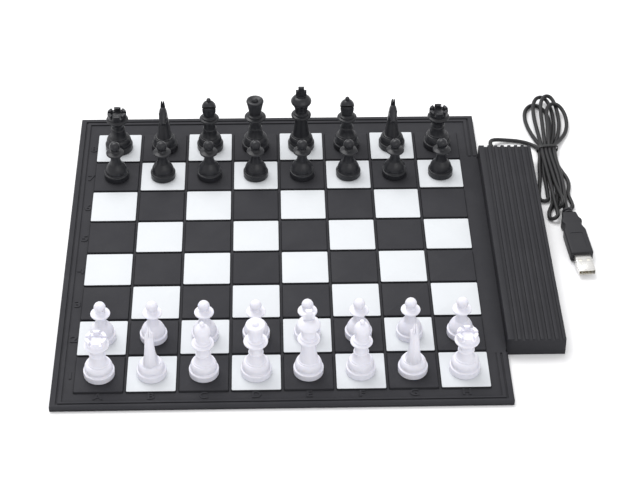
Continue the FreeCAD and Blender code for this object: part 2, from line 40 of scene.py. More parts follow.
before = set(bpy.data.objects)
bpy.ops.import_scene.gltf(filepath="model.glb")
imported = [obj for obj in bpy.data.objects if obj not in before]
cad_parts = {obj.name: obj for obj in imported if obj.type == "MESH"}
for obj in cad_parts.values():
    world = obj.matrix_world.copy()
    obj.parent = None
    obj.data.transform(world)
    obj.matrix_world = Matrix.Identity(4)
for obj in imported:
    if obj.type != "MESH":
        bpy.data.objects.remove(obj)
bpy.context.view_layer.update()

MM = 0.001
SQUARES = 8
PITCH = 35.0
SQUARE = 32.8
PAD_TOP = 4.6
PAD_CORNER = 0.9
INLAY_THICK = 0.3
SKIRT_OUT = 0.7
SKIRT_BOTTOM = 1.75
SKIRT_TOP = 2.25
FIELD_TOP = 3.1
LETTER_HEIGHT = 5.4
LETTER_LINE = -142.5                # y of the letters' middle
NUMBER_HEIGHT = 6.2
NUMBER_LINE = -142.1                # x of the numbers' middle
CAPITAL_SHARE = 0.7                 # height of a capital in the face's own size
LABEL_STRETCH = 1.15                # how much wider than the face
LABEL_WEIGHT = 0.022                # outline grown by this share of the height
FILES = "abcdefgh"
BACK_RANK = ("rook", "knight", "bishop", "queen", "king", "bishop", "knight", "rook")
FOOT_R = {"pawn": 9.3, "rook": 10.4, "knight": 10.0, "bishop": 10.0, "queen": 10.4, "king": 10.1}

PLUG_START = (213.4, 42.6, 4.15)    # where the plug's boot begins
PLUG_TURN = 4.6                     # degrees from straight towards the player
GRIP_END = 52.0
SHELL_HALF_WIDE = 6.0
SHELL_HALF_THICK = 2.25
SHELL_WALL = 0.32
SHELL_LENGTH = 17.5
WINDOW_OFF = 2.9                    # latch windows lie this far from the plug's middle line
WINDOW_HALF = 1.15
CONTACT_OFF = (-3.5, -1.0, 1.0, 3.5)
BOOT_PLACE = (164.0, 105.7, 6.0)
TIE_X = 207.8
TIE_Y = 117.0
TIE_Z = 3.75
TIE_HALF_WIDE = 8.15
TIE_HALF_HIGH = 3.3
TIE_SLANT = 0.08
TIE_FLATNESS = 0.62                 # under 1 makes the ring squarer


# ---------------------------------------------------------------- settings

def length_setting(name, description, default, low, high):
    return FloatProperty(name=name, description=description, default=default, min=low, max=high,
                         unit="LENGTH")


def colour_setting(name, description, default):
    return FloatVectorProperty(name=name, description=description, subtype="COLOR", default=default,
                               min=0, max=1)


class ChessBoardSettings(bpy.types.PropertyGroup):
    pad_edge: length_setting("Pad edge", "Rounding along the top of a square", 0.00045, 0.0001, 0.001)
    inlay_edge: length_setting("Inlay edge", "Rounding along the top of a white square", 0.0002, 0.00005,
                               0.0003)
    moulding_edge: length_setting("Moulding edge", "Rounding of the border mouldings", 0.00022, 0.0,
                                  0.0005)
    label_relief: length_setting("Label relief", "How far the letters and numbers stand up", 0.00045,
                                 0.0001, 0.0008)
    black: colour_setting("Black", "Colour of the black silicone", (0.0265, 0.0265, 0.0305))
    white: colour_setting("White", "Colour of the white squares", (0.61, 0.63, 0.655))


class ChessMenSettings(bpy.types.PropertyGroup):
    around: IntProperty(name="Steps around", description="Facets round a turned man",
                        default=80, min=24, max=160)
    edge: length_setting("Edge", "Rounding of the turned edges", 0.00022, 0.00005, 0.0005)
    white: colour_setting("White men", "Colour of the white men", (0.75, 0.745, 0.815))
    black: colour_setting("Black men", "Colour of the black men", (0.0155, 0.0158, 0.0185))


class ChessCaseSettings(bpy.types.PropertyGroup):
    edge: length_setting("Case edge", "Rounding of the case's ribs and rims", 0.0003, 0.0, 0.0006)
    plastic: colour_setting("Case", "Colour of the case", (0.0215, 0.0215, 0.025))


class ChessLeadSettings(bpy.types.PropertyGroup):
    diameter: length_setting("Lead", "Diameter of the lead", 0.003, 0.002, 0.005)
    jacket: colour_setting("Jacket", "Colour of the lead", (0.015, 0.015, 0.016))
    grip: colour_setting("Grip", "Colour of the plug's grip", (0.0205, 0.0205, 0.0235))


class ChessStageSettings(bpy.types.PropertyGroup):
    floor: colour_setting("Floor", "Colour of the floor", (0.93, 0.93, 0.94))
    key: FloatProperty(name="Key light", description="Power of the large soft light", default=30.0, min=0.0,
                       unit="POWER")
    fill: FloatProperty(name="Sky", description="Brightness of the light from all round", default=0.82,
                        min=0.0)


SETTINGS = {"chess_board": ChessBoardSettings, "chess_men": ChessMenSettings,
            "chess_case": ChessCaseSettings, "chess_lead": ChessLeadSettings,
            "chess_stage": ChessStageSettings}


# ---------------------------------------------------------------- shapes

def surface(points, caps="fan"):
    """Closed skin over a grid of rows by columns: each row is a ring joined to the next one. The two end
    rings are closed by a fan to their middle, or as one flat face."""
    rows, columns = points.shape[:2]
    index = np.arange(rows * columns).reshape(rows, columns)
    onward = np.roll(index, -1, axis=1)
    quads = np.stack([index[:-1], onward[:-1], onward[1:], index[1:]], axis=-1).reshape(-1, 4)
    verts = points.reshape(-1, 3)
    if caps == "flat":
        return verts, quads.tolist() + [index[0][::-1].tolist(), index[-1].tolist()]
    verts = np.vstack([verts, points[0].mean(axis=0), points[-1].mean(axis=0)])
    low = np.stack([onward[0], index[0], np.full(columns, rows * columns)], axis=-1)
    high = np.stack([index[-1], onward[-1], np.full(columns, rows * columns + 1)], axis=-1)
    return verts, quads.tolist() + low.tolist() + high.tolist()


def joined(parts):
    """Several skins as one list of points and faces."""
    verts = []
    faces = []
    start = 0
    for points, part_faces in parts:
        verts.append(points)
        faces += [[corner + start for corner in face] for face in part_faces]
        start += len(points)
    return np.vstack(verts), faces


def new_mesh(name, verts, faces, sharp=35.0):
    """A mesh with its doubles merged, its faces outward, smooth but for edges over the sharp angle."""
    mesh = bpy.data.meshes.new(name)
    mesh.from_pydata(np.asarray(verts).tolist(), [], faces)
    tidy(mesh)
    return smooth(mesh, sharp)


def tidy(mesh, gap=2e-6):
    """Merge doubles, drop faces without area, and point every face outward."""
    work = bmesh.new()
    work.from_mesh(mesh)
    bmesh.ops.remove_doubles(work, verts=work.verts, dist=gap)
    bmesh.ops.dissolve_degenerate(work, edges=work.edges, dist=gap)
    bmesh.ops.recalc_face_normals(work, faces=work.faces)
    work.to_mesh(mesh)
    work.free()


def smooth(mesh, sharp):
    mesh.polygons.foreach_set("use_smooth", np.ones(len(mesh.polygons), dtype=bool))
    mesh.set_sharp_from_angle(angle=math.radians(sharp))
    mesh.update()
    return mesh


def place(name, mesh, finish, body, replaces=()):
    """Put a finished mesh in the scene, riding on its body and standing for its CAD nodes."""
    piece = bpy.data.objects.new(name, mesh)
    bpy.context.scene.collection.objects.link(piece)
    mesh.materials.clear()
    mesh.materials.append(finish)
    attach(piece, body)
    if replaces:
        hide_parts(*replaces)
    return piece


def arc(first, through, last):
    """Points after first along the arc through three points, about one for every nine degrees."""
    a, b, c = (np.array(p, dtype=float) for p in (first, through, last))
    ab, ac = b - a, c - a
    cross = 2 * (ab[0] * ac[1] - ab[1] * ac[0])
    centre = a + np.array([ac[1] * (ab @ ab) - ab[1] * (ac @ ac),
                           ab[0] * (ac @ ac) - ac[0] * (ab @ ab)]) / cross
    start, end = (math.atan2(*(p - centre)[::-1]) for p in (a, c))
    sweep = (end - start) % (2 * math.pi)
    if cross < 0:
        sweep -= 2 * math.pi
    count = max(3, int(abs(sweep) / math.radians(9)))
    angle = start + sweep * np.arange(1, count + 1) / count
    size = np.linalg.norm(a - centre)
    return centre + size * np.stack([np.cos(angle), np.sin(angle)], axis=-1)


def traced(start, steps):
    """Points along an outline. A step of two numbers is a straight line to that place, and a step of four
    is an arc through the first pair to the second."""
    parts = [np.array([start], dtype=float)]
    for step in steps:
        if len(step) == 2:
            parts.append(np.array([step], dtype=float))
        else:
            parts.append(arc(parts[-1][-1], step[:2], step[2:]))
    return np.vstack(parts)


def eased(points, edge, least=14.0):
    """Round the corners of an open outline: each corner that turns more than the least angle becomes a short
    quadratic curve that leaves and joins its two sides at the distance edge."""
    before = np.roll(points, 1, axis=0)
    after = np.roll(points, -1, axis=0)
    back = before - points
    ahead = after - points
    back_length = np.maximum(np.linalg.norm(back, axis=1, keepdims=True), 1e-12)
    ahead_length = np.maximum(np.linalg.norm(ahead, axis=1, keepdims=True), 1e-12)
    cut = np.minimum(edge, 0.42 * np.minimum(back_length, ahead_length))
    straight = -np.sum(back * ahead, axis=1) / (back_length * ahead_length)[:, 0]
    bent = straight < math.cos(math.radians(least))
    bent[[0, -1]] = False
    first = points + back / back_length * cut
    last = points + ahead / ahead_length * cut
    t = np.array([0.0, 0.33, 0.67, 1.0])[None, :, None]
    curve = (1 - t) ** 2 * first[:, None] + 2 * t * (1 - t) * points[:, None] + t ** 2 * last[:, None]
    curve[~bent, 0] = points[~bent]
    keep = bent[:, None] | (np.arange(4) == 0)[None, :]
    return curve[keep]


def lathe(steps, around, edge):
    """Turned solid: radius and height along the outline, carried round +Z."""
    outline = eased(traced((0, 0), steps) * MM, edge)[1:]
    outline[:, 0] = np.maximum(outline[:, 0], 2e-5)
    angle = np.linspace(0, 2 * math.pi, around, endpoint=False)
    ring = np.stack([np.cos(angle), np.sin(angle)], axis=-1)
    points = np.empty((len(outline), around, 3))
    points[..., :2] = outline[:, None, :1] * ring
    points[..., 2] = outline[:, None, 1]
    return surface(points)


def rounded_ring(half_x, half_y, corner, per_corner=5):
    """Ring of a rectangle with rounded corners: each corner's quarter circle, one after the other."""
    turn = np.linspace(0, math.pi / 2, per_corner)
    angle = (np.arange(4)[:, None] * math.pi / 2 + turn).ravel()
    sign_x = np.repeat([1, -1, -1, 1], per_corner)
    sign_y = np.repeat([1, 1, -1, -1], per_corner)
    x = sign_x * (half_x - corner) + corner * np.cos(angle)
    y = sign_y * (half_y - corner) + corner * np.sin(angle)
    return np.stack([x, y], axis=-1)


def stack_of_rings(half_x, half_y, corner, stations, centre=(0, 0)):
    """Rounded block whose sides are drawn in by an inset at each height: stations are (inset, height)."""
    rows = []
    for inset, height in stations:
        ring = rounded_ring(half_x - inset, half_y - inset, max(corner - inset, 0.00015))
        rows.append(np.column_stack([ring + centre, np.full(len(ring), height)]))
    return surface(np.stack(rows))


def quarter(edge, top):
    """Stations of a quarter-round edge that ends level with the top."""
    turn = np.linspace(0, math.pi / 2, 4)
    return [(edge * (1 - math.cos(a)), top - edge + edge * math.sin(a)) for a in turn]


def plate(outline, half, edge):
    """Flat piece with bevelled rims: the outline in X and Z carried along Y, drawn in at both ends along
    the bisector of each corner."""
    before = np.roll(outline, 1, axis=0)
    after = np.roll(outline, -1, axis=0)
    sides = [after - outline, outline - before]
    normals = [np.stack([s[:, 1], -s[:, 0]], axis=-1) / np.linalg.norm(s, axis=1, keepdims=True)
               for s in sides]
    bisector = normals[0] + normals[1]
    bisector /= np.maximum(np.sum(bisector * normals[0], axis=1, keepdims=True), 0.35)
    rows = []
    for y, inset in ((-half, edge), (-half + edge, 0), (half - edge, 0), (half, edge)):
        ring = outline - bisector * inset
        rows.append(np.stack([ring[:, 0], np.full(len(ring), y), ring[:, 1]], axis=-1))
    return surface(np.stack(rows), caps="flat")


def through(stations, count):
    """Smooth curve through the stations: each stretch is the cubic whose slope at a station is half the
    step between that station's neighbours."""
    stations = np.asarray(stations, dtype=float)
    padded = np.vstack([2 * stations[0] - stations[1], stations, 2 * stations[-1] - stations[-2]])
    at = np.linspace(0, len(stations) - 1, count)
    first = np.minimum(at.astype(int), len(stations) - 2)
    t = (at - first)[:, None]
    p0, p1, p2, p3 = (padded[first + step] for step in range(4))
    return 0.5 * (2 * p1 + (p2 - p0) * t + (2 * p0 - 5 * p1 + 4 * p2 - p3) * t ** 2
                  + (3 * p1 - p0 - 3 * p2 + p3) * t ** 3)


def cut_away(mesh, cutters):
    """The mesh with the cutter skins taken out of it."""
    scene = bpy.context.scene
    body = bpy.data.objects.new("uncut", mesh)
    tool = bpy.data.objects.new("cutter", new_mesh("cutter", *joined(cutters)))
    for thing in (body, tool):
        scene.collection.objects.link(thing)
    cut = body.modifiers.new("cut", "BOOLEAN")
    cut.operation = "DIFFERENCE"
    cut.solver = "EXACT"
    cut.object = tool
    result = bpy.data.meshes.new_from_object(body.evaluated_get(bpy.context.evaluated_depsgraph_get()))
    for thing in (body, tool):
        bpy.data.objects.remove(thing)
    tidy(result)
    return smooth(result, 35.0)


def block(low, high):
    """Box between two corners, for cutting with."""
    low, high = np.array(low), np.array(high)
    half = (high - low) / 2
    middle = (high + low) / 2
    ring = np.array([[1, 1], [-1, 1], [-1, -1], [1, -1]]) * half[:2] + middle[:2]
    rows = [np.column_stack([ring, np.full(4, z)]) for z in (low[2], high[2])]
    return surface(np.stack(rows), caps="flat")


def turned(skin, matrix):
    """A skin moved by a 4 by 4 matrix."""
    points, faces = skin
    m = np.array(matrix)
    return points @ m[:3, :3].T + m[:3, 3], faces


# ---------------------------------------------------------------- finishes

MIX_COLOUR = 2                      # place of the colour among a mix node's outputs
BRIGHTEST = 0.95
DUST = (0.42, 0.41, 0.40, 1)
GLOSS_SPREAD = 0.07
CHIP_LEVEL = 0.00565                # height of the circuit board's top face in metres


def node(tree, kind, settings=None, **inputs):
    """Add a node, set its own settings, then its inputs: a socket is linked and a value is set."""
    made = tree.nodes.new(kind)
    for key, value in (settings or {}).items():
        setattr(made, key, value)
    for key, value in inputs.items():
        socket = made.inputs[int(key[1:])] if key[0] == "i" and key[1:].isdigit() else \
            made.inputs[key.replace("_", " ")]
        if isinstance(value, bpy.types.NodeSocket):
            tree.links.new(value, socket)
        else:
            socket.default_value = value
    return made


def group(name, inputs, outputs):
    """An empty node group with named sockets; returns the tree, its inputs and its output node."""
    tree = bpy.data.node_groups.new(name, "ShaderNodeTree")
    for label, kind, value in inputs:
        socket = tree.interface.new_socket(name=label, in_out="INPUT", socket_type=kind)
        if value is not None:
            socket.default_value = value
    for label, kind in outputs:
        tree.interface.new_socket(name=label, in_out="OUTPUT", socket_type=kind)
    return tree, tree.nodes.new("NodeGroupInput").outputs, tree.nodes.new("NodeGroupOutput")


def grain_group():
    """Moulded grain: fine noise for the tool's texture, plus a slow swell. Height is 0 to 1."""
    tree, given, out = group("Moulded grain",
                             [("Vector", "NodeSocketVector", None), ("Size", "NodeSocketFloat", 3000.0),
                              ("Swell", "NodeSocketFloat", 0.3)],
                             [("Height", "NodeSocketFloat"), ("Shade", "NodeSocketFloat")])
    fine = node(tree, "ShaderNodeTexNoise", Vector=given["Vector"], Scale=given["Size"], Detail=3.0,
                Roughness=0.6)
    slow = node(tree, "ShaderNodeTexNoise", Vector=given["Vector"], Scale=55.0, Detail=4.0, Roughness=0.55)
    height = node(tree, "ShaderNodeMix", Factor=given["Swell"], i2=fine.outputs["Fac"],
                  i3=slow.outputs["Fac"])
    tree.links.new(height.outputs[0], out.inputs["Height"])
    tree.links.new(slow.outputs["Fac"], out.inputs["Shade"])
    return tree


def dust_group():
    """Dust and handling: small flecks where a cell's middle is near, thinned by a slow mask, and broad
    rubbed patches."""
    tree, given, out = group("Dust and rubbing",
                             [("Vector", "NodeSocketVector", None), ("Spacing", "NodeSocketFloat", 260.0),
                              ("Fleck", "NodeSocketFloat", 0.07)],
                             [("Flecks", "NodeSocketFloat"), ("Rubbed", "NodeSocketFloat")])
    cells = node(tree, "ShaderNodeTexVoronoi", Vector=given["Vector"], Scale=given["Spacing"])
    near = node(tree, "ShaderNodeMath", {"operation": "LESS_THAN"}, i0=cells.outputs["Distance"],
                i1=given["Fleck"])
    patch = node(tree, "ShaderNodeTexNoise", Vector=given["Vector"], Scale=38.0, Detail=5.0, Roughness=0.6)
    rubbed = node(tree, "ShaderNodeMapRange", Value=patch.outputs["Fac"], From_Min=0.42, From_Max=0.72)
    flecks = node(tree, "ShaderNodeMath", {"operation": "MULTIPLY"}, i0=near.outputs[0],
                  i1=rubbed.outputs[0])
    tree.links.new(flecks.outputs[0], out.inputs["Flecks"])
    tree.links.new(rubbed.outputs[0], out.inputs["Rubbed"])
    return tree


def shared(name, builder):
    """A node group, built the first time it is asked for."""
    return bpy.data.node_groups.get(name) or builder()


def finish_title(name):
    """What a finish is called; plain materials come under the bare names."""
    return "finish_" + name


def blank_finish(name):
    """A finish with an empty node tree, and the tree."""
    finish = bpy.data.materials.new(finish_title(name))
    finish.use_nodes = True
    finish.node_tree.nodes.clear()
    return finish, finish.node_tree


def surfaced(finish, tree, **inputs):
    """The finish, given a shader with these inputs."""
    shader = node(tree, "ShaderNodeBsdfPrincipled", **inputs)
    node(tree, "ShaderNodeOutputMaterial", Surface=shader.outputs[0])
    return finish


def colour_mix(tree, amount, first, second):
    """A blend from the first colour to the second; each is a socket or a colour with its alpha."""
    mix = node(tree, "ShaderNodeMix", {"data_type": "RGBA"}, i0=amount, i6=first, i7=second)
    return mix.outputs[MIX_COLOUR]


def opaque(colour, share=1.0):
    """A colour with its alpha, made lighter or darker by a share."""
    return (*[min(part * share, BRIGHTEST) for part in colour], 1)


def moulded_finish(name, colour, roughness, grain, depth, lighter=1.25, dust=0.3, specular=0.5,
                   subsurface=0.0):
    """Moulded plastic or rubber. Its tone drifts between the colour and a slightly lighter one, pale
    flecks of dust lie on it, rubbing changes its gloss, and the mould's grain is in its bump."""
    finish, tree = blank_finish(name)
    where = node(tree, "ShaderNodeTexCoord").outputs["Object"]
    fine = node(tree, "ShaderNodeGroup", {"node_tree": shared("Moulded grain", grain_group)}, Vector=where,
                Size=grain)
    worn = node(tree, "ShaderNodeGroup", {"node_tree": shared("Dust and rubbing", dust_group)},
                Vector=where)
    tone = colour_mix(tree, fine.outputs["Shade"], (*colour, 1), opaque(colour, lighter))
    amount = node(tree, "ShaderNodeMath", {"operation": "MULTIPLY"}, i0=worn.outputs["Flecks"], i1=dust)
    dusty = colour_mix(tree, amount.outputs[0], tone, DUST)
    gloss = node(tree, "ShaderNodeMapRange", Value=worn.outputs["Rubbed"], To_Min=roughness + GLOSS_SPREAD,
                 To_Max=roughness - GLOSS_SPREAD)
    bump = node(tree, "ShaderNodeBump", Height=fine.outputs["Height"], Strength=0.5, Distance=depth)
    return surfaced(finish, tree, Base_Color=dusty, Roughness=gloss.outputs[0], Normal=bump.outputs[0],
                    Specular_IOR_Level=specular, Subsurface_Weight=subsurface,
                    Subsurface_Radius=(0.004, 0.0035, 0.003), Subsurface_Scale=0.5)


def metal_finish(name, colour, roughness):
    """Drawn metal: noise stretched along the drawing direction gives fine lines in gloss and bump."""
    finish, tree = blank_finish(name)
    where = node(tree, "ShaderNodeTexCoord").outputs["Object"]
    drawn = node(tree, "ShaderNodeMapping", Vector=where, Scale=(40, 2600, 2600))
    lines = node(tree, "ShaderNodeTexNoise", Vector=drawn.outputs[0], Scale=1.0, Detail=4.0)
    worn = node(tree, "ShaderNodeGroup", {"node_tree": shared("Dust and rubbing", dust_group)},
                Vector=where)
    tone = colour_mix(tree, worn.outputs["Rubbed"], (*colour, 1), opaque(colour, 0.86))
    gloss = node(tree, "ShaderNodeMapRange", Value=lines.outputs["Fac"], To_Min=roughness - 0.08,
                 To_Max=roughness + 0.1)
    bump = node(tree, "ShaderNodeBump", Height=lines.outputs["Fac"], Strength=0.25, Distance=0.00003)
    return surfaced(finish, tree, Base_Color=tone, Metallic=1.0, Roughness=gloss.outputs[0],
                    Normal=bump.outputs[0])


def circuit_finish():
    """Green solder mask with copper tracks below the board's top face, and dark chips above it."""
    finish, tree = blank_finish("circuit_laminate")
    where = node(tree, "ShaderNodeTexCoord").outputs["Object"]
    tracks = node(tree, "ShaderNodeTexBrick", {"offset": 0.35, "squash": 1.0}, Vector=where, Scale=150.0,
                  Mortar_Size=0.06, Color1=(0.012, 0.10, 0.05, 1), Color2=(0.016, 0.13, 0.06, 1),
                  Mortar=(0.05, 0.26, 0.12, 1))
    height = node(tree, "ShaderNodeSeparateXYZ", Vector=where)
    above = node(tree, "ShaderNodeMath", {"operation": "GREATER_THAN"}, i0=height.outputs["Z"],
                 i1=CHIP_LEVEL)
    colour = colour_mix(tree, above.outputs[0], tracks.outputs["Color"], (0.018, 0.018, 0.02, 1))
    gloss = node(tree, "ShaderNodeMapRange", Value=above.outputs[0], To_Min=0.25, To_Max=0.55)
    bump = node(tree, "ShaderNodeBump", Height=tracks.outputs["Fac"], Strength=0.4, Distance=0.00005)
    return surfaced(finish, tree, Base_Color=colour, Roughness=gloss.outputs[0], Normal=bump.outputs[0])


def film_finish():
    """Translucent-looking contact film: pale polyester with grey printed tracks along the files."""
    finish, tree = blank_finish("contact_film")
    where = node(tree, "ShaderNodeTexCoord").outputs["Object"]
    tracks = node(tree, "ShaderNodeTexWave", {"wave_type": "BANDS", "bands_direction": "Y"}, Vector=where,
                  Scale=90.0, Distortion=0.0)
    line = node(tree, "ShaderNodeMath", {"operation": "GREATER_THAN"}, i0=tracks.outputs["Fac"], i1=0.8)
    colour = colour_mix(tree, line.outputs[0], (0.62, 0.60, 0.52, 1), (0.20, 0.20, 0.21, 1))
    bump = node(tree, "ShaderNodeBump", Height=tracks.outputs["Fac"], Strength=0.2, Distance=0.00003)
    return surfaced(finish, tree, Base_Color=colour, Roughness=0.35, Normal=bump.outputs[0])


def finish_for(name):
    """The named finish, built the first time it is asked for. A moulded one has a colour, a roughness, the
    grain's fineness and the grain's depth."""
    scene = bpy.context.scene
    board, men, lead = scene.chess_board, scene.chess_men, scene.chess_lead
    makers = {
        "black_silicone": lambda: moulded_finish(name, board.black, 0.68, 3400.0, 0.00006, dust=0.08,
                                                 specular=0.18),
        "white_silicone": lambda: moulded_finish(name, board.white, 0.55, 3000.0, 0.00003, lighter=1.04,
                                                 dust=0.12, specular=0.3),
        "case_plastic": lambda: moulded_finish(name, scene.chess_case.plastic, 0.52, 2400.0, 0.00009,
                                               dust=0.08, specular=0.16),
        "white_men_plastic": lambda: moulded_finish(name, men.white, 0.36, 700.0, 0.00003, lighter=1.03,
                                                    dust=0.05, subsurface=0.25),
        "black_men_plastic": lambda: moulded_finish(name, men.black, 0.30, 700.0, 0.00003, lighter=1.5,
                                                    dust=0.06, specular=0.30),
        "cable_rubber": lambda: moulded_finish(name, lead.jacket, 0.44, 1500.0, 0.00004, dust=0.1,
                                               specular=0.3),
        "tie_plastic": lambda: moulded_finish(name, (0.010, 0.010, 0.011), 0.38, 900.0, 0.00005, dust=0.1),
        "grip_plastic": lambda: moulded_finish(name, lead.grip, 0.46, 2600.0, 0.00007, dust=0.08,
                                               specular=0.2),
        "tongue_plastic": lambda: moulded_finish(name, (0.75, 0.73, 0.66), 0.42, 2000.0, 0.00002,
                                                 lighter=1.05, dust=0.1),
        "plug_metal": lambda: metal_finish(name, (0.82, 0.81, 0.79), 0.26),
        "contact_gold": lambda: metal_finish(name, (0.86, 0.62, 0.26), 0.24),
        "screw_steel": lambda: metal_finish(name, (0.58, 0.58, 0.60), 0.36),
        "circuit_laminate": circuit_finish,
        "contact_film": film_finish,
    }
    return bpy.data.materials.get(finish_title(name)) or makers[name]()


def refinish(node_name, finish):
    """Give a CAD node that is shown as it is the named finish."""
    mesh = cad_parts[node_name].data
    mesh.materials.clear()
    mesh.materials.append(finish_for(finish))


# ---------------------------------------------------------------- board

def square_centre(file, rank):
    """Middle of a square in metres; file and rank count from 0 at a1."""
    middle = (SQUARES - 1) / 2
    return np.array([(file - middle) * PITCH, (rank - middle) * PITCH]) * MM


def light_square(file, rank):
    return (file + rank) % 2 == 1


def pad(file, rank, edge):
    """Skirt, straight side and quarter-round rim of one square."""
    top = (PAD_TOP - (INLAY_THICK if light_square(file, rank) else 0)) * MM
    stations = [(-SKIRT_OUT * MM, SKIRT_BOTTOM * MM), (-SKIRT_OUT * MM, SKIRT_TOP * MM),
                (0, SKIRT_TOP * MM)]
    stations += quarter(edge, top) if not light_square(file, rank) else [(0, top)]
    half = SQUARE / 2 * MM
    return stack_of_rings(half, half, PAD_CORNER * MM, stations, square_centre(file, rank))


def inlay(file, rank, edge):
    """White top of a light square, with a small quarter-round rim."""
    stations = [(0, (PAD_TOP - INLAY_THICK) * MM)] + quarter(edge, PAD_TOP * MM)
    half = SQUARE / 2 * MM
    return stack_of_rings(half, half, PAD_CORNER * MM, stations, square_centre(file, rank))


def softened(node_name, width):
    """A merged copy of a CAD node whose corners are bevelled."""
    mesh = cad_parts[node_name].data.copy()
    mesh.name = node_name + "_softened"
    tidy(mesh, 1e-6)
    body = bpy.data.objects.new("unsoftened", mesh)
    bpy.context.scene.collection.objects.link(body)
    bevel = body.modifiers.new("soften", "BEVEL")
    bevel.limit_method = "ANGLE"
    bevel.angle_limit = math.radians(28)
    bevel.width = width
    bevel.segments = 2
    bevel.use_clamp_overlap = True
    result = bpy.data.meshes.new_from_object(body.evaluated_get(bpy.context.evaluated_depsgraph_get()))
    bpy.data.objects.remove(body)
    return smooth(result, 32.0)


def lettering(text, height, x, y, relief):
    """A raised character, centred on a place, as a skin."""
    curve = bpy.data.curves.new("character", "FONT")
    curve.body = text
    curve.size = height / CAPITAL_SHARE
    curve.align_x = "CENTER"
    curve.align_y = "CENTER"
    curve.extrude = relief
    curve.bevel_depth = relief * 0.3
    curve.offset = height * LABEL_WEIGHT
    character = bpy.data.objects.new("character", curve)
    bpy.context.scene.collection.objects.link(character)
    depsgraph = bpy.context.evaluated_depsgraph_get()
    mesh = bpy.data.meshes.new_from_object(character.evaluated_get(depsgraph))
    mesh.transform(Matrix.Translation((x, y, FIELD_TOP * MM)) @ Matrix.Diagonal((LABEL_STRETCH, 1, 1, 1)))
    points = np.array([v.co[:] for v in mesh.vertices])
    faces = [list(face.vertices) for face in mesh.polygons]
    bpy.data.objects.remove(character)
    return points, faces


class ChessMakeSquares(bpy.types.Operator):
    """Build the pads and white tops of every rank"""
    bl_idname = "chess.make_squares"
    bl_label = "Make squares"

    def execute(self, context):
        settings = context.scene.chess_board
        black = finish_for("black_silicone")
        white = finish_for("white_silicone")
        for rank in range(SQUARES):
            number = rank + 1
            pads = [pad(file, rank, settings.pad_edge) for file in range(SQUARES)]
            tops = [inlay(file, rank, settings.inlay_edge) for file in range(SQUARES)
                    if light_square(file, rank)]
            place("squares_rank_%d" % number, new_mesh("squares", *joined(pads)), black,
                  "rank_%d" % number, ["rank_%d_pads" % number])
            place("white_tops_rank_%d" % number, new_mesh("white_tops", *joined(tops)), white,
                  "rank_%d" % number, ["rank_%d_light_tops" % number])
        return {"FINISHED"}


class ChessMakeBoard(bpy.types.Operator):
    """Build the board's skins, its raised letters and numbers, and finish the contact film"""
    bl_idname = "chess.make_board"
    bl_label = "Make board"

    def execute(self, context):
        settings = context.scene.chess_board
        black = finish_for("black_silicone")
        for piece, part in (("board_top", "board_top_skin"), ("board_underside", "board_base_skin")):
            place(piece, softened(part, settings.moulding_edge), black, "board", [part])
        characters = []
        for step in range(SQUARES):
            x, y = square_centre(step, step)
            characters.append(lettering(FILES[step].upper(), LETTER_HEIGHT * MM, x, LETTER_LINE * MM,
                                        settings.label_relief))
            characters.append(lettering(str(step + 1), NUMBER_HEIGHT * MM, NUMBER_LINE * MM, y,
                                        settings.label_relief))
        place("edge_labels", new_mesh("edge_labels", *joined(characters)), black, "board")
        refinish("switch_membrane", "contact_film")
        return {"FINISHED"}


# ---------------------------------------------------------------- chessmen

def dome(radius, height, top):
    """An arc from (radius, height) up to (0, top) whose centre lies on the axis, as a step of four."""
    centre = (top ** 2 - height ** 2 - radius ** 2) / (2 * (top - height))
    size = top - centre
    half = math.acos((height - centre) / size) / 2
    return size * math.sin(half), centre + size * math.cos(half), 0, top


def foot(radius):
    """Foot disc, its rounded rim, and the groove under the bell."""
    return [(radius - 0.5, 0), (radius, 0.5), (radius, 4.0), (radius - 0.15, 4.9, radius - 0.9, 5.2),
            (radius - 1.2, 5.9), (radius - 1.3, 6.6), (radius - 1.0, 6.9)]


def bell(radius):
    """Bell above the foot, with the small ledge at its top."""
    return foot(radius) + [(radius - 1.5, 9.6, 7.7, 11.2), (7.1, 11.3), (7.0, 12.1), (6.4, 12.4)]


def collar(radius, height):
    """Wide collar with a rounded edge and a smaller ring on it."""
    return [(radius - 1.6, height), (radius - 0.2, height + 0.9),
            (radius, height + 1.6, radius - 0.5, height + 2.3), (5.6, height + 2.8),
            (5.9, height + 3.4, 5.4, height + 4.0), (4.4, height + 4.6)]


def pawn(around, edge):
    steps = foot(FOOT_R["pawn"])
    steps += [(6.7, 10.9, 4.5, 13.4), (3.7, 16.4, 3.5, 20.2), (4.9, 21.3), (6.3, 22.1),
              (6.7, 22.8, 6.1, 23.6), (3.6, 24.5), (2.9, 25.8), dome(2.9, 25.8, 32.6)]
    return new_mesh("pawn", *lathe(steps, around, edge))


def rook(around, edge):
    """A drum with six merlons round an open well."""
    steps = bell(FOOT_R["rook"])
    steps += [(5.3, 15.6, 5.0, 18.0), (5.6, 18.4), (5.6, 19.2), (5.0, 19.6), (4.8, 21.6, 5.3, 23.6)]
    steps += [(6.6, 25.8), (8.0, 27.0), (8.4, 27.7, 7.9, 28.4), (6.7, 29.2), (6.7, 29.8), (7.2, 30.4),
              (7.2, 34.2), (6.9, 34.5), (5.0, 34.5), (4.7, 34.2), (4.7, 31.0), (0, 30.6)]
    slot = block((0, -1.1 * MM, 31.9 * MM), (10 * MM, 1.1 * MM, 36 * MM))
    slots = [turned(slot, Matrix.Rotation(math.radians(60 * gap), 4, "Z")) for gap in range(6)]
    return cut_away(new_mesh("rook", *lathe(steps, around, edge)), slots)


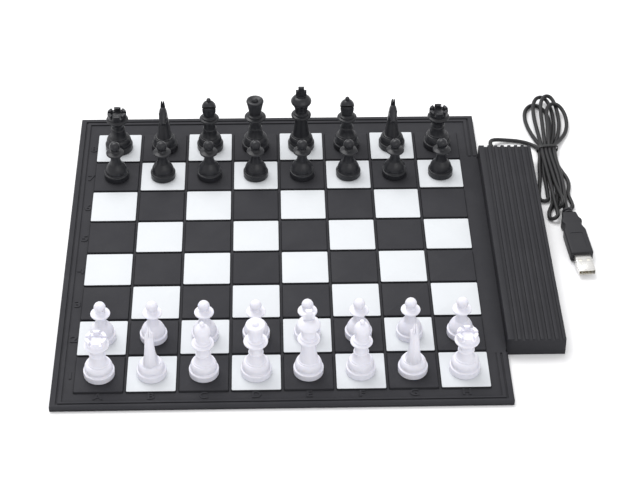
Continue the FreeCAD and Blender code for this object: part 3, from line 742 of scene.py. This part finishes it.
def bishop(around, edge):
    """A tall mitre with a slanting cut and a small ball on top."""
    steps = bell(FOOT_R["bishop"])
    steps += [(5.0, 15.4, 4.7, 17.6), (5.2, 18.0), (5.2, 18.8), (4.6, 19.2), (4.2, 22.4, 4.5, 25.2)]
    steps += collar(7.5, 26.2)
    steps += [(4.2, 31.4), (4.9, 33.6, 5.2, 36.6), (4.6, 41.4, 1.3, 44.0), dome(1.3, 44.0, 46.8)]
    cut = block((-9 * MM, 0, 0), (9 * MM, 12 * MM, 1.0 * MM))
    slant = Matrix.Translation((0, -1.0 * MM, 35.4 * MM)) @ Matrix.Rotation(math.radians(42), 4, "X")
    return cut_away(new_mesh("bishop", *lathe(steps, around, edge)), [turned(cut, slant)])


def queen(around, edge):
    """A flared coronet with a dished top and a low button in it."""
    steps = bell(FOOT_R["queen"])
    steps += [(5.0, 15.8, 4.6, 18.2), (5.1, 18.6), (5.1, 19.4), (4.5, 19.8), (4.1, 23.4, 4.5, 26.4)]
    steps += collar(8.2, 27.4)
    steps += [(4.5, 33.0), (5.2, 37.0, 6.3, 42.4), (6.6, 43.6, 6.2, 44.6), (5.2, 45.0), (2.4, 43.8),
              dome(2.4, 43.8, 46.2)]
    return new_mesh("queen", *lathe(steps, around, edge))


def king(around, edge):
    """A tall man with a bulging crown under a stubby cross of two crossed bars."""
    steps = bell(FOOT_R["king"])
    steps += [(5.5, 17.6, 4.9, 23.8), (4.8, 28.0)]
    steps += collar(7.6, 29.0)
    steps += [(4.8, 34.6), (5.0, 37.4, 6.9, 41.6), (7.8, 43.9, 7.0, 45.4), (5.2, 47.2, 2.6, 48.0),
              (2.6, 48.4), (0, 48.4)]
    stem = np.array([(2.0, 48.0), (2.2, 56.2), (-2.2, 56.2), (-2.0, 48.0)]) * MM
    bar = np.array([(4.0, 48.7), (4.0, 53.3), (-4.0, 53.3), (-4.0, 48.7)]) * MM
    cross = [plate(stem, 1.3 * MM, 0.3 * MM), plate(bar, 1.2 * MM, 0.3 * MM)]
    return new_mesh("king", *joined([lathe(steps, around, edge)] + cross))


def swell(y, z, y0, z0, reach, rise):
    """Smooth mound of a given rise about a place on the horse's side."""
    return rise * np.exp(-((y - y0) ** 2 + (z - z0) ** 2) / reach ** 2)


def knight(around, edge):
    """A horse's head on a turned stand, looking towards +Y. The head is a tube carried along the neck and
    down the face. Each station has a point on the mane's line, one on the throat's line and a half
    width; round the station the section is a superellipse between the two. Cheek, eye, nostril, mouth and
    mane are mounds and furrows added to the half width."""
    stand = foot(FOOT_R["knight"]) + [(8.4, 9.2, 7.3, 10.8), (6.9, 10.9), (6.8, 11.8), (0, 12.0)]
    stations = [(-6.2, 11.2, 6.0, 11.4, 5.6), (-7.2, 15.2, 4.9, 14.4, 4.8), (-7.6, 19.4, 3.4, 17.8, 4.2),
                (-7.3, 24.2, 1.9, 21.2, 3.7), (-6.4, 28.8, 1.2, 24.0, 3.3), (-5.0, 33.4, 2.0, 25.8, 3.0),
                (-3.0, 37.0, 3.4, 26.4, 2.9), (-0.2, 38.2, 4.6, 26.6, 2.8), (2.4, 36.8, 5.4, 27.0, 2.6),
                (4.8, 34.4, 6.0, 27.4, 2.4), (6.9, 32.0, 6.7, 27.3, 2.2), (8.5, 30.2, 7.6, 27.3, 2.0),
                (8.9, 29.2, 8.3, 28.1, 1.3)]
    line = through(stations, 70)
    angle = np.linspace(0, 2 * math.pi, 72, endpoint=False)
    across = np.sign(np.cos(angle)) * np.abs(np.cos(angle)) ** 0.85
    wide = np.sign(np.sin(angle)) * np.abs(np.sin(angle)) ** 0.8
    mane, throat = line[:, None, 0:2], line[:, None, 2:4]
    side = (mane + throat) / 2 + (throat - mane) / 2 * across[None, :, None]
    y, z = side[..., 0], side[..., 1]
    half = np.repeat(line[:, 4:5], len(angle), axis=1)
    half += swell(y, z, 1.9, 30.4, 2.6, 0.45) + swell(y, z, 2.4, 34.4, 0.9, 0.6)
    half -= swell(y, z, 3.4, 35.4, 0.8, 0.2) + swell(y, z, 7.5, 29.6, 0.55, 0.45)
    lips = np.clip((y - 5.2) / 1.2, 0, 1) * np.exp(-((z - 28.3) / 0.28) ** 2)
    half -= 0.5 * lips
    back = np.clip((-across - 0.30) / 0.18, 0, 1)[None, :]
    neck = np.clip((0.62 - np.linspace(0, 1, 70)) / 0.08, 0, 1)[:, None]
    crest = np.exp(-(wide / 0.2) ** 2)[None, :]
    locks = np.cos(wide * 26)[None, :] * (1 - crest)
    half += back * neck * 0.25
    fringe = back * neck * (0.55 * crest + 0.09 * locks)
    points = np.stack([half * wide[None, :], y - fringe, z], axis=-1) * MM
    points[-1] = points[-1] * 0.6 + points[-1].mean(axis=0) * 0.4
    parts = [lathe(stand, around, edge), surface(points)]
    for sign in (-1, 1):
        ear = through([(0.95, -2.4, 36.4, 0.95, 1.2), (0.85, -2.3, 39.0, 0.85, 1.1),
                       (0.75, -1.9, 41.4, 0.70, 0.8), (0.65, -1.5, 43.2, 0.40, 0.4),
                       (0.6, -1.3, 43.8, 0.08, 0.08)], 14)
        turn = np.linspace(0, 2 * math.pi, 20, endpoint=False)
        fold = 1 - 0.45 * np.clip(np.sin(turn), 0, 1) ** 3
        rings = np.stack([sign * (ear[:, 0:1] + ear[:, 3:4] * np.cos(turn)),
                          ear[:, 1:2] + ear[:, 4:5] * np.sin(turn) * fold,
                          np.repeat(ear[:, 2:3], 20, axis=1)], axis=-1)
        parts.append(surface(rings * MM))
    return new_mesh("knight", *joined(parts), sharp=50.0)


MAKERS = {"pawn": pawn, "rook": rook, "knight": knight, "bishop": bishop, "queen": queen, "king": king}


class ChessMakeMen(bpy.types.Operator):
    """Build all thirty-two chessmen on their squares"""
    bl_idname = "chess.make_men"
    bl_label = "Make chessmen"

    def execute(self, context):
        settings = context.scene.chess_men
        shapes = {kind: maker(settings.around, settings.edge) for kind, maker in MAKERS.items()}
        for colour, home, pawns, turn in (("white", 0, 1, 0), ("black", 7, 6, 180)):
            slot = colour + "_men_plastic"
            for file, kind in enumerate(BACK_RANK):
                for man, rank in ((kind, home), ("pawn", pawns)):
                    name = "%s_%s_%s%d" % (colour, man, FILES[file], rank + 1)
                    x, y = square_centre(file, rank)
                    stand = Matrix.Translation((x, y, PAD_TOP * MM))
                    mesh = shapes[man].copy()
                    mesh.transform(stand @ Matrix.Rotation(math.radians(turn), 4, "Z"))
                    place(name + "_moulded", mesh, finish_for(slot), name + "_man", [name])
        return {"FINISHED"}


# ---------------------------------------------------------------- case

class ChessMakeCase(bpy.types.Operator):
    """Build the ribbed case and finish the screws and circuit board in it"""
    bl_idname = "chess.make_case"
    bl_label = "Make case"

    def execute(self, context):
        edge = context.scene.chess_case.edge
        for part in ("case_top", "case_bottom"):
            place(part + "_moulded", softened(part, edge), finish_for("case_plastic"),
                  "board", [part])
        refinish("case_screws", "screw_steel")
        refinish("circuit_board", "circuit_laminate")
        return {"FINISHED"}


# ---------------------------------------------------------------- lead, hank and plug

FOLD_RADIUS = 3.3


def near_fold(x_in, z_in, x_out, z_out, y):
    """Six points that turn the lead back at the hank's near end. It comes down one side and goes back up
    the other, and the two sides are twice the radius apart."""
    steps = ((0.0, -0.414), (0.0, 0.414), (0.293, 1.0), (0.707, 1.0), (1.0, 0.414), (1.0, -0.414))
    return [(x_in + (x_out - x_in) * across, y - FOLD_RADIUS * down, z_in + (z_out - z_in) * across)
            for across, down in steps]


# From the case to the tie, then down and up through the tie for each turn of the hank, then to the plug.
# Each place is (x, y, z) of the lead's centre line in millimetres.
LEAD_OUT = [(164.0, 118.5, 6.0), (164.0, 122.4, 6.0), (165.1, 125.9, 5.3), (167.7, 128.7, 4.0),
            (171.9, 130.5, 2.6), (177.6, 131.0, 1.7), (184.6, 130.5, 1.5), (192.0, 128.2, 1.5),
            (198.4, 124.2, 1.5)]
TURN_1 = [(201.6, 119.0, 2.2), (201.9, 112.0, 2.2), (199.8, 99.0, 1.5), (198.7, 84.0, 1.5),
          (196.4, 71.0, 1.5), (195.3, 63.5, 1.5), *near_fold(195.3, 1.5, 201.9, 1.5, 60.0),
          (201.9, 63.5, 1.5), (202.2, 74.0, 1.5), (202.0, 88.0, 1.5), (203.2, 101.0, 1.5),
          (204.7, 112.0, 2.2), (204.3, 121.0, 2.2), (200.6, 131.0, 1.5), (197.0, 143.0, 1.5),
          (195.0, 157.0, 1.5), (196.4, 169.0, 1.5), (201.6, 176.4, 1.5), (207.8, 175.6, 1.5),
          (212.4, 168.4, 1.5), (214.5, 157.0, 1.5), (214.2, 144.0, 1.5), (211.2, 131.0, 1.5)]
TURN_2 = [(207.9, 121.0, 2.2), (207.9, 112.0, 2.2), (207.0, 96.0, 1.5), (206.3, 80.0, 1.5),
          (205.9, 64.0, 1.5), (204.4, 53.0, 1.5), (200.6, 44.5, 1.5),
          *near_fold(200.2, 1.5, 206.1, 4.5, 38.0), (206.1, 42.5, 4.5), (205.6, 52.0, 4.5),
          (205.2, 68.0, 4.5), (204.4, 84.0, 4.5), (203.8, 100.0, 4.5), (203.4, 112.0, 4.8),
          (203.6, 121.0, 4.8),
          (203.2, 132.0, 4.2), (202.5, 146.0, 4.0), (202.1, 160.0, 4.2), (203.2, 173.0, 4.6),
          (207.0, 182.2, 4.6), (212.6, 183.0, 4.6), (216.4, 176.0, 3.6), (218.0, 164.0, 2.0),
          (217.6, 150.0, 1.5), (215.0, 135.0, 1.5)]
TURN_3 = [(211.0, 121.0, 2.2), (210.9, 112.0, 2.2), (210.6, 97.0, 1.5), (210.2, 82.0, 1.5),
          (209.7, 66.0, 1.5), (208.0, 55.0, 1.5), *near_fold(207.4, 1.5, 210.9, 7.1, 50.0),
          (210.8, 54.5, 7.1), (209.8, 63.0, 5.8), (208.8, 74.0, 4.5), (208.0, 86.0, 4.5),
          (207.0, 100.0, 4.5), (206.3, 112.0, 4.8), (206.5, 121.0, 4.8),
          (207.0, 133.0, 5.4), (207.4, 147.0, 6.0), (207.7, 160.0, 6.8), (209.2, 173.0, 7.1),
          (213.4, 181.6, 7.1), (218.4, 180.8, 6.4), (221.2, 172.6, 4.4), (222.2, 160.0, 2.2),
          (221.4, 147.0, 1.5), (217.8, 133.0, 1.5)]
TURN_4 = [(213.9, 121.0, 2.2), (213.6, 112.0, 2.2), (213.7, 100.0, 1.5), (216.4, 91.0, 1.5),
          (219.4, 82.6, 1.5), (219.5, 73.4, 1.5), (217.0, 65.0, 1.5), (218.7, 55.5, 1.5),
          *near_fold(219.0, 1.5, 212.4, 1.5, 50.5), (212.4, 56.0, 1.5),
          (212.7, 68.0, 2.2), (211.8, 80.0, 4.4), (210.9, 92.0, 4.5), (209.9, 103.0, 4.5),
          (209.2, 112.0, 4.8), (209.5, 121.0, 4.8), (210.2, 132.0, 6.4), (211.2, 144.0, 7.1),
          (211.6, 156.0, 7.1), (213.6, 166.4, 7.1), (218.6, 171.4, 7.1), (223.8, 168.6, 6.6),
          (227.4, 160.4, 4.2), (227.9, 150.0, 2.0), (225.2, 139.6, 1.5), (220.2, 130.6, 2.0)]
LEAD_IN = [(213.6, 121.0, 4.8), (212.2, 112.0, 4.8), (213.2, 98.0, 4.5), (214.3, 84.0, 4.5),
           (214.6, 70.0, 4.5), (213.6, 56.0, 4.4), (213.1, 47.0, 4.15), (214.3, 31.6, 4.15)]


def lead_points():
    """The lead's whole route from the case to the plug, in metres."""
    return np.array(LEAD_OUT + TURN_1 + TURN_2 + TURN_3 + TURN_4 + LEAD_IN) * MM


def spline_object(name, points, radius):
    """One open NURBS curve of order 3 with a round section."""
    curve = bpy.data.curves.new(name, "CURVE")
    curve.dimensions = "3D"
    spline = curve.splines.new("NURBS")
    spline.points.add(len(points) - 1)
    spline.points.foreach_set("co", np.column_stack([points, np.ones(len(points))]).ravel())
    spline.order_u = 3
    spline.use_endpoint_u = True
    spline.resolution_u = 6
    curve.resolution_u = 6
    curve.bevel_depth = radius
    curve.bevel_resolution = 5
    curve.use_fill_caps = True
    piece = bpy.data.objects.new(name, curve)
    bpy.context.scene.collection.objects.link(piece)
    return piece


def length_of(piece):
    """Length of a curve's own line, measured with its section taken off."""
    bare = piece.data.copy()
    bare.bevel_depth = 0
    line = bpy.data.objects.new("bare", bare)
    bpy.context.scene.collection.objects.link(line)
    mesh = bpy.data.meshes.new_from_object(line.evaluated_get(bpy.context.evaluated_depsgraph_get()))
    points = np.array([v.co[:] for v in mesh.vertices])
    bpy.data.objects.remove(line)
    return float(np.linalg.norm(np.diff(points, axis=0), axis=1).sum())


def along_plug():
    """Matrix that lays a piece drawn along +Z, flat side facing -Y, down along the plug."""
    start = Matrix.Translation(Vector(PLUG_START) * MM)
    return start @ Matrix.Rotation(math.radians(PLUG_TURN), 4, "Z") @ Matrix.Rotation(math.pi / 2, 4, "X")


def boot_skin():
    """Flange, neck and tapered sleeve with four grooves, turned about +Z, then laid along +Y."""
    steps = [(4.0, 0), (4.0, 1.2), (3.05, 1.2), (3.05, 4.0)]
    for groove in range(4):
        start = 4.6 + 2.0 * groove
        outer = 3.0 - 0.1 * (start - 2.8)
        steps += [(outer, start), (2.0, start + 0.1), (2.0, start + 0.7), (outer - 0.08, start + 0.8)]
    steps += [(2.15, 12.6), (1.9, 12.8), (0, 12.8)]
    lay = Matrix.Translation(Vector(BOOT_PLACE) * MM) @ Matrix.Rotation(-math.pi / 2, 4, "X")
    return turned(lathe(steps, 40, 0.15 * MM), lay)


def grip_skin():
    """Plug's grip: rounded rectangles along its length, each with its own half width, half thickness and
    corner, from the round boot rings to the full body."""
    stations = [(2.3, 2.3, 2.3, 0.0), (3.7, 3.7, 3.7, 0.7), (3.9, 3.9, 3.9, 1.0), (3.9, 3.9, 3.9, 2.3),
                (3.7, 3.7, 3.7, 2.6), (2.6, 2.6, 2.6, 2.7), (2.6, 2.6, 2.6, 3.6), (3.7, 3.7, 3.7, 3.7),
                (3.9, 3.9, 3.9, 4.0), (3.9, 3.9, 3.9, 5.1), (3.7, 3.7, 3.7, 5.4), (2.8, 2.8, 2.7, 5.5),
                (2.8, 2.8, 2.7, 6.3), (4.9, 3.7, 1.3, 6.4), (5.4, 4.1, 1.5, 6.9), (5.8, 4.1, 1.5, 9.6),
                (6.2, 4.1, 1.5, 12.4), (7.3, 4.1, 1.5, 13.9), (7.6, 4.1, 1.5, 14.8), (7.6, 4.1, 1.5, 16.6),
                (7.3, 4.1, 1.5, 17.5), (6.4, 4.1, 1.5, 18.8), (6.2, 4.1, 1.5, 19.6), (6.4, 4.1, 1.5, 20.6),
                (7.3, 4.1, 1.5, 23.4), (8.1, 4.1, 1.5, 25.6), (8.3, 4.1, 1.5, 26.8), (8.3, 4.1, 1.5, 38.0),
                (8.3, 4.1, 1.5, 51.2), (8.1, 3.9, 1.4, 51.8), (7.7, 3.5, 1.1, 52.0)]
    rows = []
    for half_x, half_y, corner, along in stations:
        ring = rounded_ring(half_x, half_y, corner, per_corner=8)
        rows.append(np.column_stack([ring, np.full(len(ring), along)]))
    return surface(np.stack(rows) * MM)


def tube_skin(half_x, half_y, wall, length):
    """Open rectangular tube with rounded corners: out along the outside, back along the inside."""
    rows = []
    for inset, along in ((0.05, 0), (0, 0.1), (0, length - 0.1), (0.06, length), (wall - 0.06, length),
                         (wall, length - 0.1), (wall, 0.3), (half_y - 0.2, 0.25)):
        ring = rounded_ring(half_x - inset, half_y - inset, max(0.6 - inset, 0.15), per_corner=6)
        rows.append(np.column_stack([ring, np.full(len(ring), along)]))
    return surface(np.stack(rows) * MM)


def tie_skin():
    """Flat tie round the hank: a ribbon with a wire along its middle, carried round a flattened ring."""
    turn = np.linspace(0, 2 * math.pi, 96, endpoint=False)
    across = np.sign(np.cos(turn)) * np.abs(np.cos(turn)) ** TIE_FLATNESS
    up = np.sign(np.sin(turn)) * np.abs(np.sin(turn)) ** TIE_FLATNESS
    x = TIE_X + TIE_HALF_WIDE * across
    y = TIE_Y + TIE_SLANT * (x - TIE_X)
    z = TIE_Z + TIE_HALF_HIGH * up
    outward = np.stack([across, np.zeros_like(x), up], axis=-1)
    outward /= np.linalg.norm(outward, axis=1, keepdims=True)
    section = np.array([(-1.3, 0.0), (-1.3, 0.22), (-0.55, 0.26), (-0.3, 0.52), (0.3, 0.52), (0.55, 0.26),
                        (1.3, 0.22), (1.3, 0.0), (0.5, -0.04), (-0.5, -0.04)])
    points = (np.stack([x, y, z], axis=-1)[:, None] + outward[:, None] * section[None, :, 1:2]
              + np.array([0, 1, 0]) * section[None, :, 0:1])
    points = np.vstack([points, points[:1]])
    points[..., 2] = np.maximum(points[..., 2], 0.02)
    return surface(points * MM)


class ChessMakeLead(bpy.types.Operator):
    """Build the lead as one curve from the case to the plug, with its boot and tie"""
    bl_idname = "chess.make_lead"
    bl_label = "Make lead"

    def execute(self, context):
        settings = context.scene.chess_lead
        rubber = finish_for("cable_rubber")
        lead = spline_object("lead", lead_points(), settings.diameter / 2)
        lead.data.materials.append(rubber)
        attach(lead, "board")
        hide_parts("usb_lead", "usb_lead_hank")
        place("lead_boot", new_mesh("lead_boot", *boot_skin()), rubber, "board",
              ["cable_boot"])
        tie = place("lead_tie", new_mesh("lead_tie", *tie_skin()), finish_for("tie_plastic"),
                    "board")
        length_of(lead)
        return {"FINISHED"}


class ChessMakePlug(bpy.types.Operator):
    """Build the plug: grip, folded shell, tongue and contacts"""
    bl_idname = "chess.make_plug"
    bl_label = "Make plug"

    def execute(self, context):
        lay = along_plug()
        recess = stack_of_rings(4.6 * MM, 9.0 * MM, 1.2 * MM, [(0, 3.85 * MM), (0, 4.5 * MM)])
        onto_top = Matrix.Translation((0, 0, 39.0 * MM)) @ Matrix.Rotation(-math.pi / 2, 4, "X")
        recess = turned(recess, onto_top)
        grip = cut_away(new_mesh("grip", *grip_skin()), [recess])
        grip.transform(lay)
        place("plug_grip_moulded", grip, finish_for("grip_plastic"), "board", ["plug_grip"])
        windows = [block(((x - WINDOW_HALF) * MM, -4 * MM, 5.4 * MM),
                         ((x + WINDOW_HALF) * MM, 4 * MM, 7.6 * MM)) for x in (-WINDOW_OFF, WINDOW_OFF)]
        tube = tube_skin(SHELL_HALF_WIDE, SHELL_HALF_THICK, SHELL_WALL, SHELL_LENGTH)
        shell = cut_away(new_mesh("shell", *tube), windows)
        forward = lay @ Matrix.Translation((0, 0, GRIP_END * MM))
        shell.transform(forward)
        place("plug_shell_folded", shell, finish_for("plug_metal"), "board", ["plug_shell"])
        tongue = stack_of_rings(5.4 * MM, 0.92 * MM, 0.2 * MM,
                                [(0, 0), (0, 15.9 * MM), (0.2 * MM, 16.2 * MM)], (0, 0.95 * MM))
        mesh = new_mesh("tongue", *tongue)
        mesh.transform(forward)
        place("plug_tongue", mesh, finish_for("tongue_plastic"), "board")
        strips = [stack_of_rings(0.5 * MM, 0.06 * MM, 0.02 * MM, [(0, 6 * MM), (0, 15 * MM)], (x * MM, 0.0))
                  for x in CONTACT_OFF]
        mesh = new_mesh("contacts", *joined(strips))
        mesh.transform(forward)
        place("plug_contacts", mesh, finish_for("contact_gold"), "board")
        return {"FINISHED"}


# ---------------------------------------------------------------- stage

CAMERA_PLACE = (-0.00656, -0.98157, 0.86849)
CAMERA_LENS = 101.85
CAMERA_DOWN = 40.997                # degrees below level
CAMERA_RIGHT = 2.051                # degrees towards +X from straight along +Y
CAMERA_ROLL = 0.657
SENSOR_WIDTH = 36.0
FLOOR_HALF = 6.0                    # metres
FLOOR_CORNER = 2.0
FLOOR_LEVEL = -0.0004
FRONT_SHARE = 0.25                  # of the key light's power


class ChessMakeCamera(bpy.types.Operator):
    """Put the camera where it looks down on the board from the white side"""
    bl_idname = "chess.make_camera"
    bl_label = "Make camera"

    def execute(self, context):
        data = bpy.data.cameras.new("camera")
        data.lens = CAMERA_LENS
        data.sensor_width = SENSOR_WIDTH
        data.clip_start = 0.05
        camera = bpy.data.objects.new("camera", data)
        turn = Matrix.Rotation(math.radians(-CAMERA_RIGHT), 4, "Z")
        tilt = Matrix.Rotation(math.radians(90 - CAMERA_DOWN), 4, "X")
        roll = Matrix.Rotation(math.radians(CAMERA_ROLL), 4, "Z")
        camera.matrix_world = Matrix.Translation(CAMERA_PLACE) @ turn @ tilt @ roll
        context.scene.collection.objects.link(camera)
        context.scene.camera = camera
        return {"FINISHED"}


def area_light(name, power, size, place_at):
    """A soft rectangular light that faces the board's middle."""
    data = bpy.data.lights.new(name, "AREA")
    data.energy = power
    data.shape = "RECTANGLE"
    data.size, data.size_y = size
    light = bpy.data.objects.new(name, data)
    light.location = place_at
    light.rotation_euler = (-Vector(place_at)).to_track_quat("-Z", "Y").to_euler()
    bpy.context.scene.collection.objects.link(light)


class ChessMakeStage(bpy.types.Operator):
    """Lay the pale floor and hang the soft lights"""
    bl_idname = "chess.make_stage"
    bl_label = "Make stage"

    def execute(self, context):
        settings = context.scene.chess_stage
        ring = rounded_ring(FLOOR_HALF, FLOOR_HALF, FLOOR_CORNER)
        rows = np.stack([np.column_stack([ring * share, np.full(len(ring), FLOOR_LEVEL)])
                         for share in (1.0, 0.3)])
        columns = len(ring)
        index = np.arange(columns)
        onward = np.roll(index, -1)
        quads = np.stack([index, onward, onward + columns, index + columns], axis=-1).tolist()
        mesh = bpy.data.meshes.new("floor")
        mesh.from_pydata(rows.reshape(-1, 3).tolist(), [], quads + [(index + columns).tolist()])
        finish, tree = blank_finish("floor")
        where = node(tree, "ShaderNodeTexCoord").outputs["Object"]
        mottle = node(tree, "ShaderNodeTexNoise", Vector=where, Scale=3.0, Detail=2.0)
        gloss = node(tree, "ShaderNodeMapRange", Value=mottle.outputs["Fac"], To_Min=0.7, To_Max=0.85)
        surfaced(finish, tree, Base_Color=(*settings.floor, 1), Roughness=gloss.outputs[0])
        mesh.materials.append(finish)
        floor = bpy.data.objects.new("floor", mesh)
        context.scene.collection.objects.link(floor)
        area_light("key", settings.key, (1.6, 1.2), (-0.5, 0.9, 1.7))
        area_light("front", settings.key * FRONT_SHARE, (1.6, 1.0), (0.7, -1.5, 1.3))
        world = context.scene.world or bpy.data.worlds.new("studio")
        context.scene.world = world
        world.use_nodes = True
        sky = next(n for n in world.node_tree.nodes if n.type == "BACKGROUND")
        sky.inputs["Color"].default_value = (1.0, 1.0, 1.0, 1)
        sky.inputs["Strength"].default_value = settings.fill
        context.scene.view_settings.view_transform = "Standard"
        return {"FINISHED"}


# ---------------------------------------------------------------- add-on

OPERATORS = [ChessMakeCamera, ChessMakePlug, ChessMakeLead, ChessMakeSquares, ChessMakeBoard,
             ChessMakeMen, ChessMakeCase, ChessMakeStage]


class ChessPanel(bpy.types.Panel):
    """Lists the steps and their settings"""
    bl_idname = "CHESS_PT_steps"
    bl_label = "Chess computer"
    bl_space_type = "VIEW_3D"
    bl_region_type = "UI"
    bl_category = "Chess"

    def draw(self, context):
        for operator in OPERATORS:
            self.layout.operator(operator.bl_idname)
        for name, settings in SETTINGS.items():
            box = self.layout.box()
            for field in settings.__annotations__:
                box.prop(getattr(context.scene, name), field)


def register():
    for settings in SETTINGS.values():
        bpy.utils.register_class(settings)
    for operator in OPERATORS:
        bpy.utils.register_class(operator)
    bpy.utils.register_class(ChessPanel)
    for name, settings in SETTINGS.items():
        setattr(bpy.types.Scene, name, PointerProperty(type=settings))


def unregister():
    for name in SETTINGS:
        delattr(bpy.types.Scene, name)
    bpy.utils.unregister_class(ChessPanel)
    for operator in reversed(OPERATORS):
        bpy.utils.unregister_class(operator)
    for settings in reversed(list(SETTINGS.values())):
        bpy.utils.unregister_class(settings)


def main():
    register()
    for operator in OPERATORS:
        family, step = operator.bl_idname.split(".")
        getattr(getattr(bpy.ops, family), step)()


if __name__ == "__main__":
    main()
